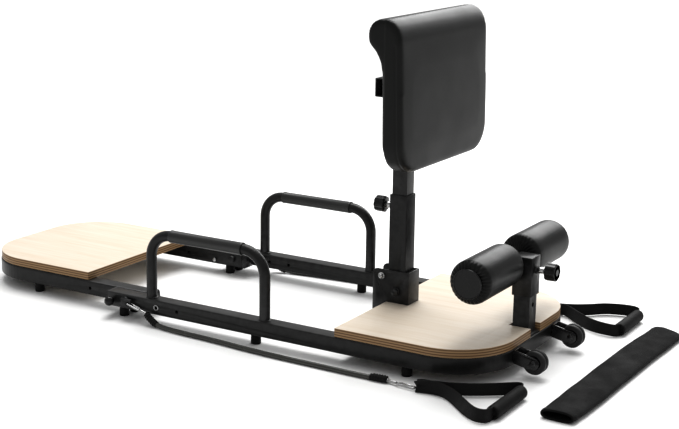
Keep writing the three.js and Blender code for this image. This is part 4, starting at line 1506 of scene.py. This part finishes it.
@dataclass
class BackPad:
    """The upholstered pad whose top rolls back, inflated a little, seamed and pleated."""

    half: float = 208.0
    voxel: float = 5.0
    seam_behind: float = 13.0
    seam_depth: float = 1.5
    front_low: float = 210.0
    front_high: float = 202.0
    low: float = 423.0
    high: float = 695.0
    roll: Place = (156.0, 0.0, 716.0)
    roll_front: float = 164.0
    rim_radius: float = 32.0
    end_margin: float = 12.0
    side_margin: float = 14.0
    seam_top: float = 700.0
    pleats_above: float = 690.0
    smoothing_loss: float = 1.2
    bulge: float = 1.6
    pleats: int = 34
    pleat_depth: float = 0.8

    def build(self) -> None:
        """Makes the pad: its even mesh, its stuffing, its crown, its seam and its pleats."""
        bm = bmesh.new()
        bm.from_mesh(frame["nodes"]["back_pad"].data)
        bmesh.ops.remove_doubles(bm, verts=bm.verts, dist=1e-5)
        bmesh.ops.dissolve_limit(bm, angle_limit=math.radians(1.0), verts=bm.verts, edges=bm.edges)
        pad = to_piece("upholstered_back_pad", bm, LINE.vinyl, 80.0)
        ease_edges(pad, 4.5, 4, 50.0)
        remesh = pad.modifiers.new("even", "REMESH")
        remesh.mode = "VOXEL"
        remesh.voxel_size = self.voxel * MM
        settle(pad, 180.0)
        relax(pad, 3)
        inflate(pad, pressure=0.8, frames=10, reach=1.6, held=self.is_held)
        relax(pad, 3)
        subdivide(pad)
        for rule in (self.fill_out, self.crown, self.seam, self.gather):
            shift_points(pad, rule)
        smooth_shading(pad.data, 180.0)
        stand_for(pad, "back_slider", "vinyl", "back_pad")
        LOG.info("back pad ready: %d points", len(pad.data.vertices))

    def is_held(self, place: Vector) -> bool:
        """Tells whether a place is off the free front panel, where the cover is stretched tight."""
        local = MACHINE.local(place)
        off_end = local.z > self.high - self.end_margin or local.z < self.low + self.end_margin
        off_side = abs(local.y) > self.half - self.side_margin
        return off_end or off_side or local.x < self.front_at(local.z) - 5.0

    def front_at(self, z: float) -> float:
        """The x of the pad's front face at a height, in millimetres."""
        share = min(max((z - self.low) / (self.high - self.low), 0.0), 1.0)
        return self.front_low + (self.front_high - self.front_low) * share

    def fill_out(self, place: Vector, normal: Vector) -> Vector:
        """Gives back what smoothing took off the outside."""
        behind = self.is_held(place) and MACHINE.local(place).x < self.roll_front
        return normal * (0.0 if behind else self.smoothing_loss) * MM

    def crown(self, place: Vector, normal: Vector) -> Vector:
        """Lets the front face bulge softly between its edges."""
        local = MACHINE.local(place)
        if normal.x < 0.3 or local.z > self.high:
            return Vector()
        middle, reach = (self.high + self.low) / 2, (self.high - self.low) / 2
        sideways = max(0.0, 1.0 - (local.y / self.half) ** 4)
        upright = max(0.0, 1.0 - ((local.z - middle) / reach) ** 4)
        return ALONG * self.bulge * sideways * upright * normal.x * MM

    def seam(self, place: Vector, normal: Vector) -> Vector:
        """Sinks the seam that runs round the sides behind the front edge."""
        local = MACHINE.local(place)
        if abs(normal.x) > 0.75 or local.z > self.seam_top:
            return Vector()
        away = local.x - (self.front_at(local.z) - self.seam_behind)
        groove = math.exp(-((away / 1.9) ** 2))
        bead = math.exp(-(((away - 3.6) / 2.2) ** 2))
        return -normal * (self.seam_depth * groove - 0.6 * bead) * MM

    def gather(self, place: Vector, normal: Vector) -> Vector:
        """Pleats the vinyl round the upper rims of the roll's ends."""
        local = MACHINE.local(place)
        radial = Vector((local.x - self.roll[0], 0.0, local.z - self.roll[2]))
        on_end = abs(local.y) >= self.half - self.side_margin and radial.length >= 12.0
        if not on_end or local.z < self.pleats_above:
            return Vector()
        angle = math.atan2(radial.z, radial.x)
        upper = min(1.0, max(0.0, 0.4 + radial.z / 20.0))
        near_rim = math.exp(-(((radial.length - self.rim_radius) / 4.5) ** 2)) * upper
        pleat = (0.5 + 0.5 * math.cos(self.pleats * angle)) ** 2
        return -normal * self.pleat_depth * near_rim * pleat * MM


def shift_points(piece: Piece, rule: Callable[[Vector, Vector], Vector]) -> None:
    """Moves every point of a piece by what a rule gives for its place and its normal."""
    points = piece.data.vertices
    normals = [point.normal.copy() for point in points]
    for point, normal in zip(points, normals):
        point.co += rule(point.co.copy(), normal)
    piece.data.update()


def relax(piece: Piece, times: int, factor: float = 0.5) -> None:
    """Evens out a mesh a few times."""
    bm = bmesh.new()
    bm.from_mesh(piece.data)
    for _ in range(times):
        bmesh.ops.smooth_vert(
            bm, verts=bm.verts, factor=factor, use_axis_x=True, use_axis_y=True, use_axis_z=True,
        )
    bm.to_mesh(piece.data)
    bm.free()


def subdivide(piece: Piece, levels: int = 1) -> None:
    """Subdivides a piece smoothly and applies it."""
    finer = piece.modifiers.new("finer", "SUBSURF")
    finer.levels = levels
    finer.render_levels = levels
    settle(piece, 180.0)


def inflate(
    piece: Piece, pressure: float, frames: int, reach: float, held: Callable[[Vector], bool],
) -> None:
    """Swells a closed piece like stuffed upholstery, and keeps the result.

    Args:
        piece: the piece; its mesh is replaced in place.
        pressure: the cloth's inner pressure.
        frames: how many steps are run.
        reach: the furthest a point may move, in millimetres.
        held: tells whether a place doesn't move.
    """
    rest = [vert.co.copy() for vert in piece.data.vertices]
    pins = piece.vertex_groups.new(name="held")
    pins.add([vert.index for vert in piece.data.vertices if held(vert.co)], 1.0, "REPLACE")
    cloth = piece.modifiers.new("stuffing", "CLOTH")
    cloth.settings.use_pressure = True
    cloth.settings.uniform_pressure_force = pressure
    cloth.settings.effector_weights.gravity = 0.0
    cloth.settings.vertex_group_mass = "held"
    cloth.settings.tension_stiffness = 25.0
    cloth.settings.compression_stiffness = 25.0
    cloth.settings.quality = 5
    scene = bpy.context.scene
    for step in range(1, frames + 1):
        scene.frame_set(step)
    graph = bpy.context.evaluated_depsgraph_get()
    mesh = bpy.data.meshes.new_from_object(piece.evaluated_get(graph))
    moved = [vert.co.copy() for vert in mesh.vertices]
    bpy.data.meshes.remove(mesh)
    piece.modifiers.clear()
    piece.vertex_groups.clear()
    scene.frame_set(1)
    limit = reach * MM
    for vert, start, end in zip(piece.data.vertices, rest, moved):
        step = end - start
        vert.co = start + (step if step.length <= limit else step.normalized() * limit)
    piece.data.update()


# ---- ankle rollers -------------------------------------------------------------------------------
@dataclass
class AnkleRollers:
    """Two vinyl foam rollers with gathered ends on the sliding carriage."""

    x: float = 380.5
    z: float = 221.0
    radius: float = 48.0
    inner: float = 34.0
    outer: float = 223.5
    pleats: int = 30
    pleat_depth: float = 3.4
    smooth_within: float = 24.0
    around: int = 240

    def profile(self) -> Profile:
        """The roller's side outline, from its bore inside round to its bore outside."""
        r = self.radius
        inner_end = [
            (0.0, 12.8), (0.0, 22.0), (0.4, 30.0), (1.2, 34.5), (2.8, 38.5), (5.2, 42.2), (8.4, 45.4),
            (12.0, 47.2), (17.0, r),
        ]
        outer_end = [
            (19.0, r), (14.0, r - 0.6), (9.5, r - 2.3), (6.0, r - 5.0), (3.4, r - 8.2), (1.6, r - 11.4),
            (0.6, r - 14.2), (0.3, 30.0), (0.3, 12.8),
        ]
        near = [(self.inner + place, radius) for place, radius in inner_end]
        far = [(self.outer - place, radius) for place, radius in outer_end]
        first, last = near[-1][0], far[0][0]
        middle = [(first + (last - first) * step / 8, r) for step in range(1, 8)]
        return [*near, *middle, *far, near[0]]

    def build_roller(self, side: Side) -> None:
        """Makes one roller with its gathered ends."""
        centre = MACHINE.at(self.x, 0.0, self.z)
        bare = turned(self.profile(), centre, side.outward, self.around)
        roller = to_piece(f"vinyl_roller_{side.label}", bare, LINE.vinyl, 60.0)
        shift_points(roller, lambda place, normal: self.gather(place - centre, normal, side))
        stand_for(roller, f"roller_{side.label}", "vinyl", f"roller_{side.label}")

    def gather(self, place: Vector, normal: Vector, side: Side) -> Vector:
        """Pleats the vinyl at both ends of a roller, and lets the rest sag a little.

        Args:
            place: the point's place from the roller's own middle line.
            normal: its normal.
            side: the roller's side.

        Returns:
            The point's move.
        """
        along = side.value * place.y / MM
        radial = Vector((place.x, 0.0, place.z))
        size = radial.length / MM
        if size < self.smooth_within:
            return Vector()
        end = min(abs(along - self.outer), abs(along - self.inner))
        share = math.exp(-((end / 8.0) ** 2)) * min(1.0, (size - self.smooth_within) / 6.0)
        angle = math.atan2(place.z, place.x)
        fold = abs(math.sin((self.pleats * angle + 1.1 * math.sin(3 * angle + side.value)) / 2)) ** 0.7
        depth = self.pleat_depth * share * (1.0 - fold + 0.35 * noise.noise(place * 90.0))
        return (radial.normalized() * 0.35 * noise.noise(place * 18.0) - normal * depth) * MM

    def build_cap(self, side: Side) -> None:
        """Makes the flat end cap with its raised rim."""
        start = MACHINE.at(self.x, side.value * (self.outer + 0.2), self.z)
        plate = [
            (0.0, 0.0), (0.0, 32.0), (0.6, 32.6), (3.6, 32.6), (4.5, 32.0), (4.8, 31.2), (4.5, 30.4),
            (3.6, 30.0), (3.5, 12.0), (3.8, 0.0),
        ]
        cap = to_piece(f"roller_end_cap_{side.label}", turned(plate, start, side.outward, 72), LINE.plastic)
        stand_for(cap, f"roller_{side.label}", "plastic", f"roller_cap_{side.label}")

    def build(self) -> None:
        """Makes the rollers, the carriage, the post and the knob."""
        for side in Side:
            self.build_roller(side)
            self.build_cap(side)
        eased_copy("roller_carriage", LINE.powder, 0.6, 2.2)
        eased_copy("roller_post", LINE.powder, 0.5, 2.2)
        FlutedKnob(
            "roller_height_knob", "roller_knob", "roller_knob", face_x=462.0, boss_x=442.0, z=208.0,
            radius=20.0, length=25.0,
        ).build()
        LOG.info("ankle rollers ready")


# ---- transport wheels ----------------------------------------------------------------------------
@dataclass
class TransportWheel:
    """One grooved wheel in its bracket."""

    side: Side
    x: float = 490.0
    y: float = 105.0
    z: float = 36.4
    radius: float = 26.0
    half_width: float = 12.0
    bracket_face: float = 16.5

    def build(self) -> None:
        """Makes the tyre, its hub, the bracket and the bolt."""
        label = self.side.label
        centre = MACHINE.at(self.x, self.side.value * self.y, self.z)
        r, w = self.radius, self.half_width
        tread = [
            (-w, 17.0), (-w, r - 3.2), (-w + 0.7, r - 1.2), (-w + 2.2, r), (-2.6, r), (-2.0, r - 0.5),
            (-1.6, r - 1.8), (1.6, r - 1.8), (2.0, r - 0.5), (2.6, r), (w - 2.2, r), (w - 0.7, r - 1.2),
            (w, r - 3.2), (w, 17.0), (w - 2.0, 16.2), (-w + 2.0, 16.2), (-w, 17.0),
        ]
        tyre = to_piece(f"wheel_tyre_{label}", turned(tread, centre, ACROSS, 56), LINE.tyre)
        stand_for(tyre, f"wheel_{label}", "rubber", f"wheel_{label}")
        half_hub = [(0.6, 4.2), (0.6, 8.0), (2.4, 9.4), (2.4, 14.2), (0.9, 15.4), (0.9, 16.6)]
        hub = [(place - w, radius) for place, radius in both_ends(half_hub, 2 * w, [])]
        core = to_piece(f"wheel_hub_{label}", turned([*hub, hub[0]], centre, ACROSS, 48), LINE.gloss)
        stand_for(core, f"wheel_{label}", "plastic")
        eased_copy(f"wheel_bracket_{label}", LINE.gloss, 0.7)
        self.build_bolt(centre)
        LOG.info("wheel %s ready", label)

    def build_bolt(self, centre: Vector) -> None:
        """Makes the axle bolt with a domed head and a nut."""
        face = self.bracket_face
        dome = [(3.2, 0.0), (3.0, 2.6), (2.2, 5.4), (0.9, 7.0), (0.0, 7.2), (0.0, 4.0)]
        nut = [(0.0, 4.0), (0.0, 7.4), (0.5, 7.8), (1.0, 7.4), (1.1, 6.4), (3.6, 6.4), (4.2, 5.6), (4.2, 0.0)]
        profile = [(-face - place, radius) for place, radius in dome]
        profile += [(face + place, radius) for place, radius in nut]
        bare = turned(profile, centre, ACROSS, 36)
        bolt = to_piece(f"wheel_axle_bolt_{self.side.label}", bare, LINE.gloss)
        stand_for(bolt, "main_frame", "steel", f"wheel_bolt_{self.side.label}")


# ---- loose sleeve --------------------------------------------------------------------------------
@dataclass
class PaddedSleeve:
    """A flattened padded tube of cloth that lies on the floor.

    The stations are (share of the length, width, height) rows.
    """

    start: tuple[float, float] = (624.0, -310.0)
    end: tuple[float, float] = (636.0, 338.0)
    wall: float = 4.2
    steps: int = 56
    stations: tuple[tuple[float, float, float], ...] = (
        (0.0, 71.0, 24.0), (0.03, 74.0, 22.5), (0.1, 79.0, 20.0), (0.25, 82.0, 18.5), (0.5, 83.0, 18.0),
        (0.8, 81.0, 18.5), (0.95, 79.0, 18.0), (1.0, 76.0, 17.0),
    )

    def measure(self, share: float) -> tuple[float, float]:
        """The sleeve's width and height at a share of its length."""
        for (a, wide_a, high_a), (b, wide_b, high_b) in zip(self.stations, self.stations[1:]):
            if share <= b:
                t = (share - a) / (b - a)
                t = t * t * (3 - 2 * t)
                return wide_a + (wide_b - wide_a) * t, high_a + (high_b - high_a) * t
        return self.stations[-1][1:]

    def build(self) -> None:
        """Makes the tube, opens its ends and gives it its padding and hems."""
        section = disc_section(1000.0, 72)
        for vert in section.verts:
            vert.co.x = math.copysign(abs(vert.co.x) ** 0.62, vert.co.x) * 0.5
            vert.co.y = math.copysign(abs(vert.co.y) ** 0.8, vert.co.y) * 0.5
        first, last = (MACHINE.at(x, y, 0.0) for x, y in (self.start, self.end))
        frames = []
        for step in range(self.steps + 1):
            share = step / self.steps
            width, height = self.measure(share)
            hem = 1.0 + (0.7 / height if 0.012 < share < 0.03 or 0.97 < share < 0.988 else 0.0)
            centre = first.lerp(last, share)
            centre.x += 1.6 * math.sin(share * 7.0 + 0.6) * MM
            centre.z = (height / 2 + 0.2) * MM
            matrix = place_frames([centre - (last - first), centre, centre + (last - first)])[1]
            frames.append(matrix @ Matrix.Diagonal((width * MM * hem, height * MM * hem, 1.0, 1.0)))
        bm = sweep(section, frames)
        bm.faces.ensure_lookup_table()
        caps = [face for face in bm.faces if len(face.verts) > 8]
        bmesh.ops.delete(bm, geom=caps, context="FACES_ONLY")
        sleeve = to_piece("padded_sleeve_cover", bm, LINE.cover, 60.0)
        shift_points(sleeve, lambda place, normal: self.rumple(place, normal, first, last))
        padding = sleeve.modifiers.new("padding", "SOLIDIFY")
        padding.thickness = self.wall * MM
        padding.offset = -1.0
        settle(sleeve, 60.0)
        ease_edges(sleeve, 1.3, 3, 60.0)
        self.rest_on_floor(sleeve)
        stand_for(sleeve, "padded_sleeve", "sleeve_fabric", "padded_sleeve")
        LOG.info("padded sleeve ready")

    def rumple(self, place: Vector, normal: Vector, first: Vector, last: Vector) -> Vector:
        """Gives the cloth its soft dents, and slants its far end.

        Args:
            place: the point's place.
            normal: its normal.
            first: the sleeve's near end.
            last: its far end.

        Returns:
            The point's move.
        """
        run = last - first
        share = (place - first).dot(run) / run.length_squared
        sideways = (place.x - first.lerp(last, share).x) / MM
        slant = max(0.0, share - 0.8) / 0.2 * max(0.0, sideways + 10.0) * 0.5
        dent = noise.noise(place * 16.0) * 1.7 + noise.noise(place * 5.0 + Vector((3.0, 0.0, 0.0))) * 1.6
        return Vector((noise.noise(place * 9.0) * 1.2, -slant, dent * max(0.0, normal.z))) * MM

    @staticmethod
    def rest_on_floor(sleeve: Piece) -> None:
        """Flattens what would reach below the floor."""
        for vert in sleeve.data.vertices:
            vert.co.z = max(vert.co.z, LOWEST)


def main() -> None:
    """Builds the machine, class by class."""
    logging.basicConfig(level=logging.INFO, format="%(name)s %(relativeCreated)d ms: %(message)s")
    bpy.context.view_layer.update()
    Studio().build()
    for band in BANDS:
        band.build()
    RailFrame(
        "main_rail_frame", "main_frame", "main_frame", open_x=-554.0, bow_x=444.0, half=259.0, bend=146.0,
        holes_x=(-407.0, -347.0),
    ).build()
    RailFrame(
        "foot_rail_frame", "foot_section", "foot_frame", open_x=-469.0, bow_x=-1018.0, half=220.0, bend=148.0,
        holes_x=(-641.0,),
    ).build()
    BaseHardware().build()
    PlyBoard(
        "birch_standing_board", "main_frame", "standing_board", left=79.0, right=443.0, half=257.0,
        radius=144.0, round_at_right=True, notch=(390.0, 26.0),
    ).build()
    PlyBoard(
        "birch_foot_board", "foot_section", "foot_board", left=-1016.0, right=-649.0, half=216.5,
        radius=144.0, round_at_right=False,
    ).build()
    for side in Side:
        SideHandle(side).build()
    BackPost().build()
    BackPad().build()
    AnkleRollers().build()
    for side in Side:
        TransportWheel(side).build()
    PaddedSleeve().build()


if __name__ == "__main__":
    main()
